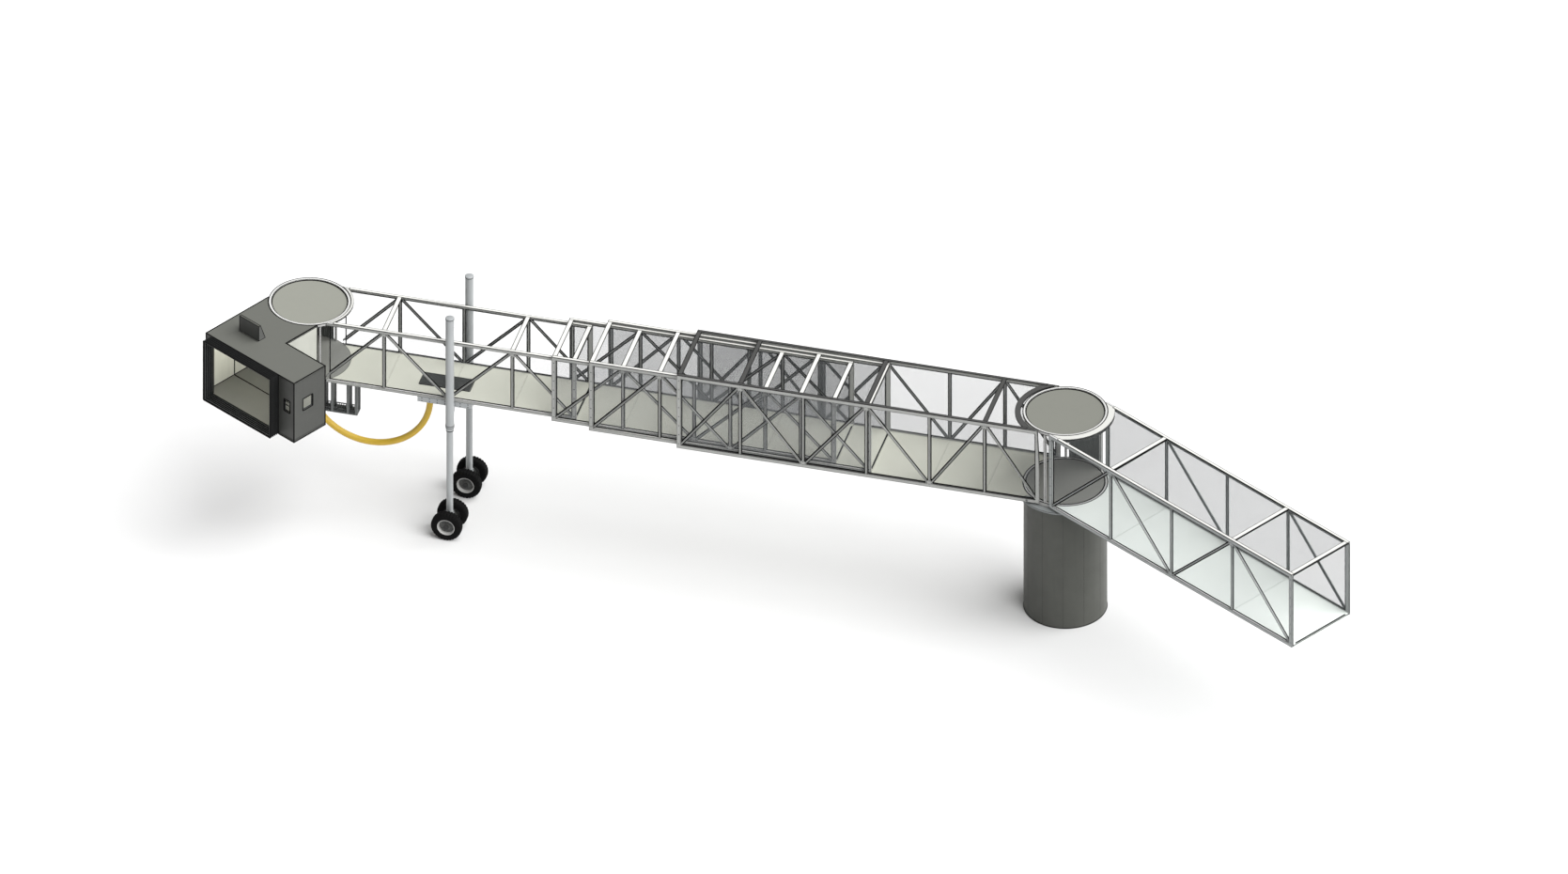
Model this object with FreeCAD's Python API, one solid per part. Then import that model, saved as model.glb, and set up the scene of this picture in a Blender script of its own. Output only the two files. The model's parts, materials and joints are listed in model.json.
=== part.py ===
import FreeCAD, Part
import math
import os

# Passenger boarding bridge. Millimetres, +Z up, +X from the rotunda towards the terminal.
# The origin is the centre of the pedestal's foot.

vec = FreeCAD.Vector
up = vec(0, 0, 1)

# Levels above the ground
floorLine = 4860.0        # underside of the walkway and of the widest tunnel
passageHeight = 2900.0    # walkway and widest tunnel, outside
passageWidth = 2700.0     # walkway and widest tunnel, outside
deckThickness = 28.0
joistDepth = 46.0
joistWidth = 60.0

# Lattice sides
chordWidth = 75.0
deckTop = chordWidth      # walking surface above the underside of its own passage
runningGap = 15.0         # between one tunnel section and the next one inside it
verticalWidth = 60.0
diagonalWidth = 46.0
portalWidth = 140.0       # wide posts at the ends of each section
glassThickness = 8.0
barInset = 7.0            # bars stand back from the outer face of the chords
beamWidth = 90.0          # roof beams, along the passage
beamDepth = 60.0
slideGap = 0.4            # under a slide shoe
shoeLength = 220.0

# Pedestal and rotunda
pedestalRadius = 1370.0
pedestalWall = 30.0
pedestalPlate = 50.0
trackLap = 190.0          # the track stands on the pedestal's rim this far in
trackInner = pedestalRadius - trackLap
trackDepth = 70.0
slewPlate = 40.0          # lower arc of the slewing yoke
yokeDrop = 80.0           # slew bearing face below the underside of the tunnels
ringMargin = 50.0         # the white ring reaches past the passage's outer faces
ringWidth = 90.0
ringDepth = 100.0
ringOuter = passageWidth / 2 + ringMargin
rotundaRadius = ringOuter - ringWidth   # floor and roof discs
trackOuter = ringOuter + 220.0
slewGap = 10.0            # between the fixed ring and the slewing tunnel
pitchRoom = 55.0          # more of that gap at roof level, for raising the cab
arcOuter = ringOuter + 255.0
walkwayArcOuter = ringOuter + 225.0
roofDiscDepth = 60.0
rotundaPost = 80.0
rotundaPostAngles = [285.6, 74.4, 134.4]
slatWallAngles = [79.0, 130.0]
slatWallThickness = 30.0

# Fixed walkway
walkwayLength = 11840.0   # rotunda centre to the terminal end
walkwayStart = 580.0
walkwayChordHeight = 120.0
walkwayPanels = 4

# Telescoping tunnels, widest first. Places are distances from the rotunda centre.
tunnelHeading = 210.0
tunnelNames = ["tunnel_a", "tunnel_b", "tunnel_c", "tunnel_d"]
tunnelStarts = [520.0, 6260.0, 7470.0, 16300.0]
tunnelEnds = [12820.0, 15820.0, 17110.0, 25000.0]
tunnelChordHeights = [130.0, 120.0, 110.0, 100.0]
wideTunnelPanel = 2140.0  # the last two panels of the widest tunnel share what is left
pitchPinPlace = 950.0
pitchPinHeight = 65.0     # above the underside of the widest tunnel
pitchPinRadius = 30.0
pinClearance = 0.08
lugThickness = 75.0
lugLength = 200.0
lugHeight = 220.0
lugGap = 8.0

# Lift columns and wheels
columnPlace = 20540.0
columnRadius = 140.0
columnWall = 15.0
columnGap = 15.0          # between a column and the side of the last tunnel
columnTop = 8580.0
columnFoot = 4200.0
collarDepth = 100.0
liftRadius = 110.0
liftWall = 20.0
liftTop = 7000.0
liftFoot = 800.0
headGap = 0.3
headRadius = 150.0
kingpinRadius = 50.0
kingpinLength = 160.0
wheelRadius = 520.0
wheelWidth = 300.0
wheelSpacing = 770.0
hubRadius = 300.0
hubRecess = 60.0
axleRadius = 60.0
axleCapRadius = 95.0
axleCapDepth = 25.0
axleCapGap = 6.0
saddleStart = 19850.0
saddleLength = 1830.0
saddleDepth = 200.0
bracketLength = 250.0
bracketTop = 5120.0
bracketDepth = 350.0
hatchLength = 1690.0
hatchWidth = 660.0
hatchPlace = 20080.0
hatchOffset = 160.0       # from the tunnel's middle towards the near side
hatchThickness = 12.0

# Cab
cabPivotPlace = 25620.0
cabHeading = 270.0
lastInset = 3 * (chordWidth + runningGap)
lastHalf = passageWidth / 2 - lastInset
columnSide = lastHalf + columnGap + columnRadius
cabRingOuter = lastHalf + 280.0
cabRoundRadius = cabRingOuter - 100.0
cabArcOuter = cabRingOuter + 86.0
cabTurnGap = 10.0
cabRoofDrop = 20.0        # cab roof below the top of the last tunnel
cabHeight = passageHeight - 2 * lastInset - cabRoofDrop
cabWall = 60.0
cabRoofDepth = 60.0
cabFloorDepth = 90.0
passageHalf = lastHalf + 50.0
blockBack = 2230.0
blockFront = 3670.0
blockRight = passageHalf + 1810.0
bellowsLeft = 240.0 - passageHalf
bellowsRight = blockRight - 700.0
bellowsDepth = 400.0
bellowsWall = 75.0
bellowsRise = 25.0        # stands above and below the cab's box
bellowsGap = 0.3
frontWindow = [blockRight - 460.0, blockRight - 180.0]
sideWindow = [410.0, 870.0]
windowTop = 820.0         # below the cab's roof
windowHeight = 470.0
hoodSide = [-470.0, 420.0]
hoodFront = 2780.0
hoodBase = 300.0
hoodTop = 80.0
hoodHeight = 580.0
cabWallPostAngles = [330.0, 94.0, 206.0]
cabRoundWallAngles = [98.0, 202.0]
cabPost = 60.0
pivotRadius = 150.0
pivotFlange = 210.0
pivotFlangeDepth = 20.0
armThickness = 60.0
armHub = 400.0
armHalf = 500.0
armGap = 0.4

# Hose and hanging basket
hoseRadius = 110.0
hoseStub = 660.0          # straight length under the saddle
hoseFarPlace = 21540.0
basketPlace = 23950.0
basketLength = 1180.0
basketDrop = 1800.0
basketWidth = 420.0
basketBar = 90.0
basketPairGap = 190.0


def box(x0, x1, y0, y1, z0, z1):
    return Part.makeBox(x1 - x0, y1 - y0, z1 - z0, vec(x0, y0, z0))


def drum(radius, z0, z1, x=0.0, y=0.0):
    return Part.makeCylinder(radius, z1 - z0, vec(x, y, z0), up)


def ring(inner, outer, z0, z1, x=0.0, y=0.0):
    return drum(outer, z0, z1, x, y).cut(drum(inner, z0 - 1, z1 + 1, x, y))


def fused(shapes):
    return shapes[0].multiFuse(shapes[1:]).removeSplitter()


def turned(shape, degrees):
    copy = shape.copy()
    copy.rotate(vec(0, 0, 0), up, degrees)
    return copy


def mirrored(shape):
    return shape.mirror(vec(0, 0, 0), vec(0, 1, 0))


def bothSides(shape):
    return [shape, mirrored(shape)]


def save(node, shapes):
    shape = shapes[0] if len(shapes) == 1 else Part.makeCompound(shapes)
    shape.exportStep("parts/" + node + ".step")
    print(node, len(shape.Solids), "solids", round(shape.Volume / 1e9, 4), "m3", shape.isValid())


def saveTunnel(node, shapes):
    save(node, [turned(shape, tunnelHeading) for shape in shapes])


def sector(radius, fromAngle, toAngle, z0, z1):
    """A wedge of a disc between two plan angles."""
    wedge = Part.makeCylinder(radius, z1 - z0, vec(0, 0, z0), up, toAngle - fromAngle)
    return turned(wedge, fromAngle)


def levels(index):
    """Underside, top and outer half width of one tunnel section, widest first."""
    step = index * (chordWidth + runningGap)
    return floorLine + step, floorLine + passageHeight - step, passageWidth / 2 - step


def panelPlaces(start, end, count):
    return [end + (start - end) * i / count for i in range(count + 1)]


def widePanelPlaces():
    start = tunnelStarts[0]
    places = [tunnelEnds[0] - wideTunnelPanel * i for i in range(5)]
    rest = places[-1] - start
    return places + [start + rest / 2, start]


def brace(x0, z0, x1, z1, inner, outer):
    """A square-cut diagonal between two points of a side's centre lines."""
    length = math.hypot(x1 - x0, z1 - z0)
    bar = box(0, length, inner, outer, -diagonalWidth / 2, diagonalWidth / 2)
    bar.rotate(vec(0, 0, 0), vec(0, 1, 0), -math.degrees(math.atan2(z1 - z0, x1 - x0)))
    bar.translate(vec(x0, 0, z0))
    return bar


def latticeSide(places, bottom, top, half, chordHeight):
    """One flat side: two chords, end posts, verticals and a zigzag that starts low."""
    low, high = min(places), max(places)
    inner = half - chordWidth
    barInner = inner + glassThickness
    barOuter = half - barInset
    lowLine = bottom + chordHeight / 2
    highLine = top - chordHeight / 2
    parts = [
        box(low, high, inner, half, bottom, bottom + chordHeight),
        box(low, high, inner, half, top - chordHeight, top),
        box(low, low + portalWidth, inner, half, bottom, top),
        box(high - portalWidth, high, inner, half, bottom, top),
    ]
    for place in places[1:-1]:
        parts.append(box(place - verticalWidth / 2, place + verticalWidth / 2, barInner, barOuter,
                         lowLine, highLine))
    # the zigzag ends inside the end posts
    ends = [abs(place - low) < 1 or abs(place - high) < 1 for place in places]
    inward = portalWidth / 2
    lines = []
    for place, atEnd in zip(places, ends):
        shift = 0 if not atEnd else (inward if place == low else -inward)
        lines.append(place + shift)
    for i in range(len(lines) - 1):
        z0 = lowLine if i % 2 == 0 else highLine
        z1 = highLine if i % 2 == 0 else lowLine
        parts.append(brace(lines[i], z0, lines[i + 1], z1, barInner, barOuter))
    return fused(parts)


def sideGlass(places, bottom, top, half, chordHeight):
    inner = half - chordWidth
    low = min(places) + portalWidth
    high = max(places) - portalWidth
    return box(low, high, inner, inner + glassThickness, bottom + chordHeight, top - chordHeight)


def roofBeams(places, top, half):
    inner = half - chordWidth
    return [box(place - beamWidth / 2, place + beamWidth / 2, -inner, inner, top - beamDepth, top)
            for place in places]


def deck(start, end, joists, bottom, half, mouthStrips=False):
    """Floor deck with joists under it, and wear strips at the mouth that the next section slides on."""
    inner = half - chordWidth
    top = bottom + deckTop
    parts = [box(start, end, -inner, inner, top - deckThickness, top)]
    if mouthStrips:
        outer = inner - runningGap
        strip = box(end - shoeLength, end, outer - chordWidth, outer, top - 1, top + runningGap - slideGap)
        parts += bothSides(strip)
    for place in joists:
        parts.append(box(place - joistWidth / 2, place + joistWidth / 2, -inner, inner,
                         top - deckThickness - joistDepth, top - deckThickness))
    return fused(parts)


def arcBetween(inner, outer, half, z0, z1):
    """A ring piece on the +X side, clipped between two parallel sides."""
    return ring(inner, outer, z0, z1).common(box(0, outer + 1, -half, half, z0, z1))


def pedestal():
    top = floorLine - yokeDrop - trackDepth
    shell = drum(pedestalRadius, 0, top).cut(
        drum(pedestalRadius - pedestalWall, pedestalPlate, top - pedestalPlate))
    save("pedestal", [shell])
    save("slew_track", [ring(trackInner, trackOuter, top, top + trackDepth)])


def rotunda():
    deckLevel = floorLine + deckTop
    trackTop = floorLine - yokeDrop
    roof = floorLine + passageHeight
    save("rotunda_floor", [drum(rotundaRadius, trackTop, deckLevel)])
    save("rotunda_rings", [ring(rotundaRadius, ringOuter, trackTop, deckLevel),
                           ring(rotundaRadius, ringOuter, roof - ringDepth, roof)])
    save("rotunda_roof", [drum(rotundaRadius, roof - ringDepth, roof - ringDepth + roofDiscDepth)])
    middle = ringOuter - ringWidth / 2
    post = box(middle - rotundaPost / 2, middle + rotundaPost / 2, -rotundaPost / 2, rotundaPost / 2,
               deckLevel, roof - ringDepth)
    save("rotunda_posts", [turned(post, angle) for angle in rotundaPostAngles])
    half = slatWallThickness / 2
    wedge = sector(ringOuter, slatWallAngles[0], slatWallAngles[1], deckLevel, roof - ringDepth)
    slats = ring(middle - half, middle + half, deckLevel, roof - ringDepth)
    save("slat_wall", [slats.common(wedge)])


def walkway():
    bottom = floorLine
    top = floorLine + passageHeight
    half = passageWidth / 2
    inner = half - chordWidth
    places = panelPlaces(walkwayLength, walkwayStart, walkwayPanels)
    core = drum(ringOuter, 0, top + 1)
    side = latticeSide(places, bottom, top, half, walkwayChordHeight).cut(core)
    save("walkway_sides", bothSides(side))
    joists = [place for place in places[1:-1]] + [walkwayLength - joistWidth / 2]
    save("walkway_floor", [deck(walkwayStart, walkwayLength, joists, bottom, half).cut(core)])
    glass = sideGlass(places, bottom, top, half, walkwayChordHeight)
    save("walkway_glass", bothSides(glass))
    beamPlaces = [places[1], places[3], walkwayLength - beamWidth / 2]
    arc = arcBetween(ringOuter, walkwayArcOuter, inner, top - walkwayChordHeight, top)
    save("walkway_roof_frame", roofBeams(beamPlaces, top, half) + [arc])
    sheetTop = top - beamDepth
    sheet = box(walkwayStart, walkwayLength, -inner, inner, sheetTop - glassThickness, sheetTop)
    save("walkway_roof_glass", [sheet.cut(drum(walkwayArcOuter, 0, top))])


def pitchPins(radius):
    """The two hinge pins on which the tunnels tip, as cylinders across the passage."""
    inner = passageWidth / 2 - chordWidth - lugGap - lugThickness
    height = floorLine + pitchPinHeight
    length = passageWidth / 2 + 12 - inner
    pin = Part.makeCylinder(radius, length, vec(pitchPinPlace, inner, height), vec(0, 1, 0))
    return bothSides(pin)


def slewYoke():
    """Lower arc that slews on the track, with a lug and a hinge pin each side."""
    face = floorLine - yokeDrop + slideGap
    plate = ring(ringOuter + slewGap, arcOuter, face, face + slewPlate)
    outer = passageWidth / 2 - chordWidth - lugGap
    lugStart = pitchPinPlace - lugLength / 2
    plate = plate.common(box(lugStart, arcOuter, -outer, outer, face, face + slewPlate))
    lug = box(lugStart, lugStart + lugLength, outer - lugThickness, outer, face, face + lugHeight)
    clear = drum(ringOuter + slewGap, face - 1, face + lugHeight + 1)
    lugs = [piece.cut(clear) for piece in bothSides(lug)]
    saveTunnel("slew_yoke", [fused([plate] + lugs + pitchPins(pitchPinRadius))])


def rotundaClearance():
    """Space that the widest tunnel keeps clear round the fixed ring, wider at the roof."""
    radius = ringOuter + slewGap
    return Part.makeCone(radius, radius + pitchRoom, passageHeight + 2, vec(0, 0, floorLine - 1), up)


def lugRoom():
    outer = passageWidth / 2 - chordWidth
    width = lugThickness + 3 * lugGap
    return box(0, pitchPinPlace + lugLength / 2 + 3 * lugGap, outer - width, outer + 1,
               floorLine - 1, floorLine + lugHeight)


def wideTunnel():
    bottom, top, half = levels(0)
    chordHeight = tunnelChordHeights[0]
    places = widePanelPlaces()
    clear = rotundaClearance()
    inner = half - chordWidth
    side = latticeSide(places, bottom, top, half, chordHeight).cut(clear)
    bores = pitchPins(pitchPinRadius + pinClearance)
    saveTunnel("tunnel_a_sides", bothSides(side.cut(bores[0])))
    joists = [places[i] for i in (1, 2, 3, 4, 5)] + [places[0] - joistWidth / 2]
    floor = deck(places[-1], places[0], joists, bottom, half, True).cut(clear)
    saveTunnel("tunnel_a_floor", [floor.cut(lugRoom()).cut(mirrored(lugRoom()))])
    glass = sideGlass(places, bottom, top, half, chordHeight).cut(clear)
    saveTunnel("tunnel_a_glass", bothSides(glass))
    beamPlaces = [places[1], places[3], places[5], places[0] - beamWidth / 2]
    arcInner = ringOuter + slewGap + pitchRoom
    arc = arcBetween(arcInner, arcOuter, inner, top - beamDepth, top)
    saveTunnel("tunnel_a_roof_frame", roofBeams(beamPlaces, top, half) + [arc])


def innerTunnel(index):
    """A section that slides inside the one before it, on shoes at its rear end."""
    name = tunnelNames[index]
    bottom, top, half = levels(index)
    start, end = tunnelStarts[index], tunnelEnds[index]
    chordHeight = tunnelChordHeights[index]
    last = index == len(tunnelNames) - 1
    places = panelPlaces(start, end, 4)
    clear = drum(cabRingOuter, 0, top + 1, cabPivotPlace)
    side = latticeSide(places, bottom, top, half, chordHeight)
    floor = deck(start, end, places[1:-1] + [start + joistWidth / 2], bottom, half, not last)
    glass = sideGlass(places, bottom, top, half, chordHeight)
    beamPlaces = [places[1], places[3], start + beamWidth / 2]
    if last:
        side = side.cut(clear)
        floor = floor.cut(clear)
        glass = glass.cut(clear)
        frame = roofBeams(beamPlaces, top, half) + [cabArc(bottom, top, half)]
    else:
        frame = roofBeams(beamPlaces + [end - beamWidth / 2], top, half)
    saveTunnel(name + "_sides", bothSides(side))
    saveTunnel(name + "_floor", [floor])
    saveTunnel(name + "_glass", bothSides(glass))
    saveTunnel(name + "_roof_frame", frame)
    saveTunnel(name + "_shoes", slideShoes(index))


def slideShoes(index):
    """Blocks under the chords at a section's rear end, which slide on the deck below."""
    bottom, top, half = levels(index)
    outerDeck = levels(index - 1)[0] + deckTop
    rear = tunnelStarts[index]
    return bothSides(box(rear, rear + shoeLength, half - chordWidth, half, outerDeck + slideGap, bottom))


def cabArc(bottom, top, half):
    inner = half - chordWidth
    arc = ring(cabRingOuter, cabArcOuter, top - beamDepth, top, cabPivotPlace)
    return arc.common(box(cabPivotPlace - cabArcOuter, cabPivotPlace, -inner, inner, bottom, top))


def columnSleeves():
    """Outer tubes of the lift columns, with a collar at the foot, a cap and a bracket each."""
    side = columnSide
    capUnder = columnTop - columnWall
    tube = ring(columnRadius - columnWall, columnRadius, columnFoot, capUnder, columnPlace, side)
    cap = drum(columnRadius, capUnder, columnTop, columnPlace, side)
    collar = Part.makeCone(liftRadius + columnWall, columnRadius, collarDepth,
                           vec(columnPlace, side, columnFoot - collarDepth), up)
    inside = drum(liftRadius + headGap, columnFoot - collarDepth - 1, columnFoot + 1, columnPlace, side)
    bush = ring(liftRadius + headGap, columnRadius - columnWall / 2, columnFoot, columnFoot + collarDepth,
                columnPlace, side)
    bracket = box(columnPlace - bracketLength / 2, columnPlace + bracketLength / 2, lastHalf, side,
                  bracketTop - bracketDepth, bracketTop)
    bracket = bracket.cut(drum(columnRadius - columnWall / 2, 0, columnTop, columnPlace, side))
    sleeve = fused([tube, cap, collar.cut(inside), bush, bracket])
    saveTunnel("column_sleeves", bothSides(sleeve))


def saddle():
    bottom, top, half = levels(3)
    lower = bottom - saddleDepth
    body = box(saddleStart, saddleStart + saddleLength, -half, half, lower, bottom)
    saveTunnel("saddle_box", [body])
    level = bottom + deckTop
    saveTunnel("hatch_plate", [box(hatchPlace, hatchPlace + hatchLength, hatchOffset - hatchWidth / 2,
                                   hatchOffset + hatchWidth / 2, level, level + hatchThickness)])


def wheel(place, side):
    """Tyre and hub in one, bored for the axle, with a dished face."""
    low = side - wheelWidth / 2
    across = vec(0, 1, 0)
    tyre = Part.makeCylinder(wheelRadius, wheelWidth, vec(place, low, wheelRadius), across)
    edges = [edge for edge in tyre.Edges if edge.Curve.TypeId == "Part::GeomCircle"]
    tyre = tyre.makeFillet(wheelWidth / 6, edges)
    bore = Part.makeCylinder(axleRadius + pinClearance, wheelWidth, vec(place, low, wheelRadius), across)
    dish = Part.makeCylinder(hubRadius, hubRecess, vec(place, low, wheelRadius), across)
    otherLow = low + wheelWidth - hubRecess
    other = Part.makeCylinder(hubRadius, hubRecess, vec(place, otherLow, wheelRadius), across)
    return tyre.cut(dish).cut(other).cut(bore)


def leg(name, sign):
    """Lift tube, steering head with its axle, and two wheels."""
    side = sign * columnSide
    tube = ring(liftRadius - liftWall, liftRadius, liftFoot, liftTop, columnPlace, side)
    pinTop = liftFoot + kingpinLength
    plug = drum(liftRadius, liftFoot, pinTop + liftWall, columnPlace, side)
    flange = drum(headRadius, liftFoot, liftFoot + liftWall, columnPlace, side)
    socket = drum(kingpinRadius + pinClearance, liftFoot - 1, pinTop + 1, columnPlace, side)
    saveTunnel(name + "_lift_tube", [fused([tube, plug, flange]).cut(socket)])
    head = drum(headRadius, wheelRadius - headRadius, liftFoot - headGap, columnPlace, side)
    kingpin = drum(kingpinRadius, liftFoot - headGap - 1, liftFoot + kingpinLength, columnPlace, side)
    reach = wheelSpacing / 2 + wheelWidth / 2 - hubRecess + axleCapGap + axleCapDepth
    across = vec(0, 1, 0)
    axle = Part.makeCylinder(axleRadius, 2 * reach, vec(columnPlace, side - reach, wheelRadius), across)
    caps = [Part.makeCylinder(axleCapRadius, axleCapDepth, vec(columnPlace, start, wheelRadius), across)
            for start in (side - reach, side + reach - axleCapDepth)]
    saveTunnel(name + "_steering_head", [fused([head, kingpin, axle] + caps)])
    saveTunnel(name + "_outer_wheel", [wheel(columnPlace, side + sign * wheelSpacing / 2)])
    saveTunnel(name + "_inner_wheel", [wheel(columnPlace, side - sign * wheelSpacing / 2)])


def cabPoint():
    heading = math.radians(tunnelHeading)
    return vec(cabPivotPlace * math.cos(heading), cabPivotPlace * math.sin(heading), 0)


def atCab(shape, heading=0.0):
    """Moves a shape made round the cab's pivot to its place in the bridge."""
    copy = turned(shape, heading)
    copy.translate(cabPoint())
    return copy


def cabLevels():
    bottom = levels(3)[0]
    return bottom, bottom + cabHeight


def pivotEnd():
    """Lower face of the pivot's flange, just under the cab's arm."""
    return levels(3)[0] - 2 * armGap - armThickness - pivotFlangeDepth


def cabRound():
    """Round vestibule at the end of the last tunnel: floor, roof, ring, posts and a curved wall."""
    bottom, top = cabLevels()
    deckLevel = bottom + deckTop
    roofUnder = top - ringDepth
    floor = drum(cabRingOuter, bottom, deckLevel)
    pin = drum(pivotRadius, pivotEnd(), bottom + 1)
    flange = drum(pivotFlange, pivotEnd(), pivotEnd() + pivotFlangeDepth)
    save("cab_round_floor", [atCab(fused([floor, pin, flange]))])
    save("cab_round_roof", [atCab(drum(cabRoundRadius, roofUnder, roofUnder + roofDiscDepth))])
    save("cab_round_ring", [atCab(ring(cabRoundRadius, cabRingOuter, roofUnder, top))])
    middle = (cabRoundRadius + cabRingOuter) / 2
    post = box(middle - cabPost / 2, middle + cabPost / 2, -cabPost / 2, cabPost / 2, deckLevel, roofUnder)
    save("cab_round_posts", [atCab(post, angle) for angle in cabWallPostAngles])
    wedge = sector(cabRingOuter, cabRoundWallAngles[0], cabRoundWallAngles[1], deckLevel, roofUnder)
    wall = ring(middle - slatWallThickness / 2, middle + slatWallThickness / 2, deckLevel, roofUnder)
    save("cab_round_wall", [atCab(wall.common(wedge))])


def cabOutline(grow, z0, z1):
    """Plan of the cab seen from above: a passage and a wider block in front of it."""
    passage = box(0, blockFront - grow, -passageHalf + grow, passageHalf - grow, z0, z1)
    block = box(blockBack + grow, blockFront - grow, -passageHalf + grow, blockRight - grow, z0, z1)
    return passage.fuse(block).removeSplitter()


def cab():
    bottom, top = cabLevels()
    clear = drum(cabRingOuter + cabTurnGap, bottom - cabFloorDepth, top + 1)
    floorTop = bottom + deckTop
    roofUnder = top - cabRoofDepth
    floor = cabOutline(0, floorTop - cabFloorDepth, floorTop).cut(clear)
    armTop = bottom - armGap
    arm = box(0, blockBack, -armHalf, armHalf, armTop - armThickness, armTop)
    arm = fused([arm, drum(armHub, armTop - armThickness, armTop)])
    arm = arm.cut(drum(pivotRadius + armGap, 0, top))
    web = box(cabRingOuter + cabTurnGap, blockBack, -armHalf, armHalf, armTop - armThickness, bottom)
    save("cab_floor", [atCab(fused([floor, arm, web]), cabHeading)])
    save("cab_roof", [atCab(cabOutline(0, roofUnder, top).cut(clear), cabHeading)])
    walls = cabOutline(0, floorTop, roofUnder).cut(cabOutline(cabWall, floorTop, roofUnder))
    inside = passageHalf - cabWall
    walls = walls.cut(box(-1, cabWall * 2, -inside, inside, floorTop, roofUnder))
    mouth = box(blockFront - cabWall - 1, blockFront + 1, bellowsLeft + bellowsWall,
                bellowsRight - bellowsWall, floorTop, roofUnder)
    walls = walls.cut(clear).cut(mouth)
    paneLow = top - windowTop - windowHeight
    frontHole = box(blockFront - cabWall - 1, blockFront + 1, frontWindow[0], frontWindow[1],
                    paneLow, paneLow + windowHeight)
    sideHole = box(blockFront - sideWindow[1], blockFront - sideWindow[0], blockRight - cabWall - 1,
                   blockRight + 1, paneLow, paneLow + windowHeight)
    save("cab_walls", [atCab(walls.cut(frontHole).cut(sideHole), cabHeading)])
    paneIn = cabWall / 2
    frontPane = blockFront - paneIn
    sidePane = blockRight - paneIn
    panes = [box(frontPane - glassThickness, frontPane, frontWindow[0], frontWindow[1],
                 paneLow, paneLow + windowHeight),
             box(blockFront - sideWindow[1], blockFront - sideWindow[0],
                 sidePane - glassThickness, sidePane, paneLow, paneLow + windowHeight)]
    save("cab_windows", [atCab(pane, cabHeading) for pane in panes])
    save("cab_bellows", [atCab(bellows(bottom, top), cabHeading)])
    save("cab_hood", [atCab(hood(top), cabHeading)])


def bellows(bottom, top):
    """Soft closure round the mouth, a square tube open front and back."""
    start = blockFront + bellowsGap
    low = bottom - bellowsRise
    high = top + bellowsRise
    outer = box(start, start + bellowsDepth, bellowsLeft, bellowsRight, low, high)
    return outer.cut(box(start - 1, start + bellowsDepth + 1, bellowsLeft + bellowsWall,
                         bellowsRight - bellowsWall, low + bellowsWall + deckTop, high - bellowsWall))


def hood(top):
    crest = top + hoodHeight
    points = [vec(hoodFront, hoodSide[0], top), vec(hoodFront - hoodBase, hoodSide[0], top),
              vec(hoodFront - hoodTop, hoodSide[0], crest), vec(hoodFront, hoodSide[0], crest)]
    face = Part.Face(Part.makePolygon(points + [points[0]]))
    return face.extrude(vec(0, hoodSide[1] - hoodSide[0], 0))


def serviceHose():
    """Semicircle of hose in the tunnel's middle plane, with a straight stub up to each end."""
    saddleEnd = levels(3)[0] - saddleDepth
    farPlace = hoseFarPlace
    bendRadius = (cabPivotPlace - farPlace) / 2
    middle = (cabPivotPlace + farPlace) / 2
    springing = saddleEnd - hoseStub
    start = vec(cabPivotPlace, 0, pivotEnd())
    turnIn = vec(cabPivotPlace, 0, springing)
    low = vec(middle, 0, springing - bendRadius)
    turnOut = vec(farPlace, 0, springing)
    finish = vec(farPlace, 0, saddleEnd)
    edges = [Part.LineSegment(start, turnIn).toShape(), Part.Arc(turnIn, low, turnOut).toShape(),
             Part.LineSegment(turnOut, finish).toShape()]
    path = Part.Wire(edges)
    profile = Part.Wire([Part.makeCircle(hoseRadius, start, up)])
    hose = path.makePipeShell([profile], True, False)
    print("hose", round(path.Length), "mm long, section times length over volume",
          round(math.pi * hoseRadius ** 2 * path.Length / hose.Volume, 4))
    saveTunnel("service_hose", [hose])


def hangingBasket():
    """Open basket of square bars that hangs under the last tunnel."""
    bottom = levels(3)[0]
    low = bottom - basketDrop
    half = basketWidth / 2
    end = basketPlace + basketLength
    tray = box(basketPlace, end, -half, half, low, low + basketBar / 2)
    parts = [tray]
    pair = basketPairGap + basketBar
    for place in (basketPlace, basketPlace + pair, end - pair - basketBar, end - basketBar):
        for side in (-half, half - basketBar):
            parts.append(box(place, place + basketBar, side, side + basketBar, low, bottom))
    saveTunnel("hanging_basket", [fused(parts)])


os.makedirs("parts", exist_ok=True)
pedestal()
rotunda()
walkway()
slewYoke()
wideTunnel()
for number in (1, 2, 3):
    innerTunnel(number)
columnSleeves()
saddle()
leg("near", 1)
leg("far", -1)
cabRound()
cab()
serviceHose()
hangingBasket()
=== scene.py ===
import json
import math

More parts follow.
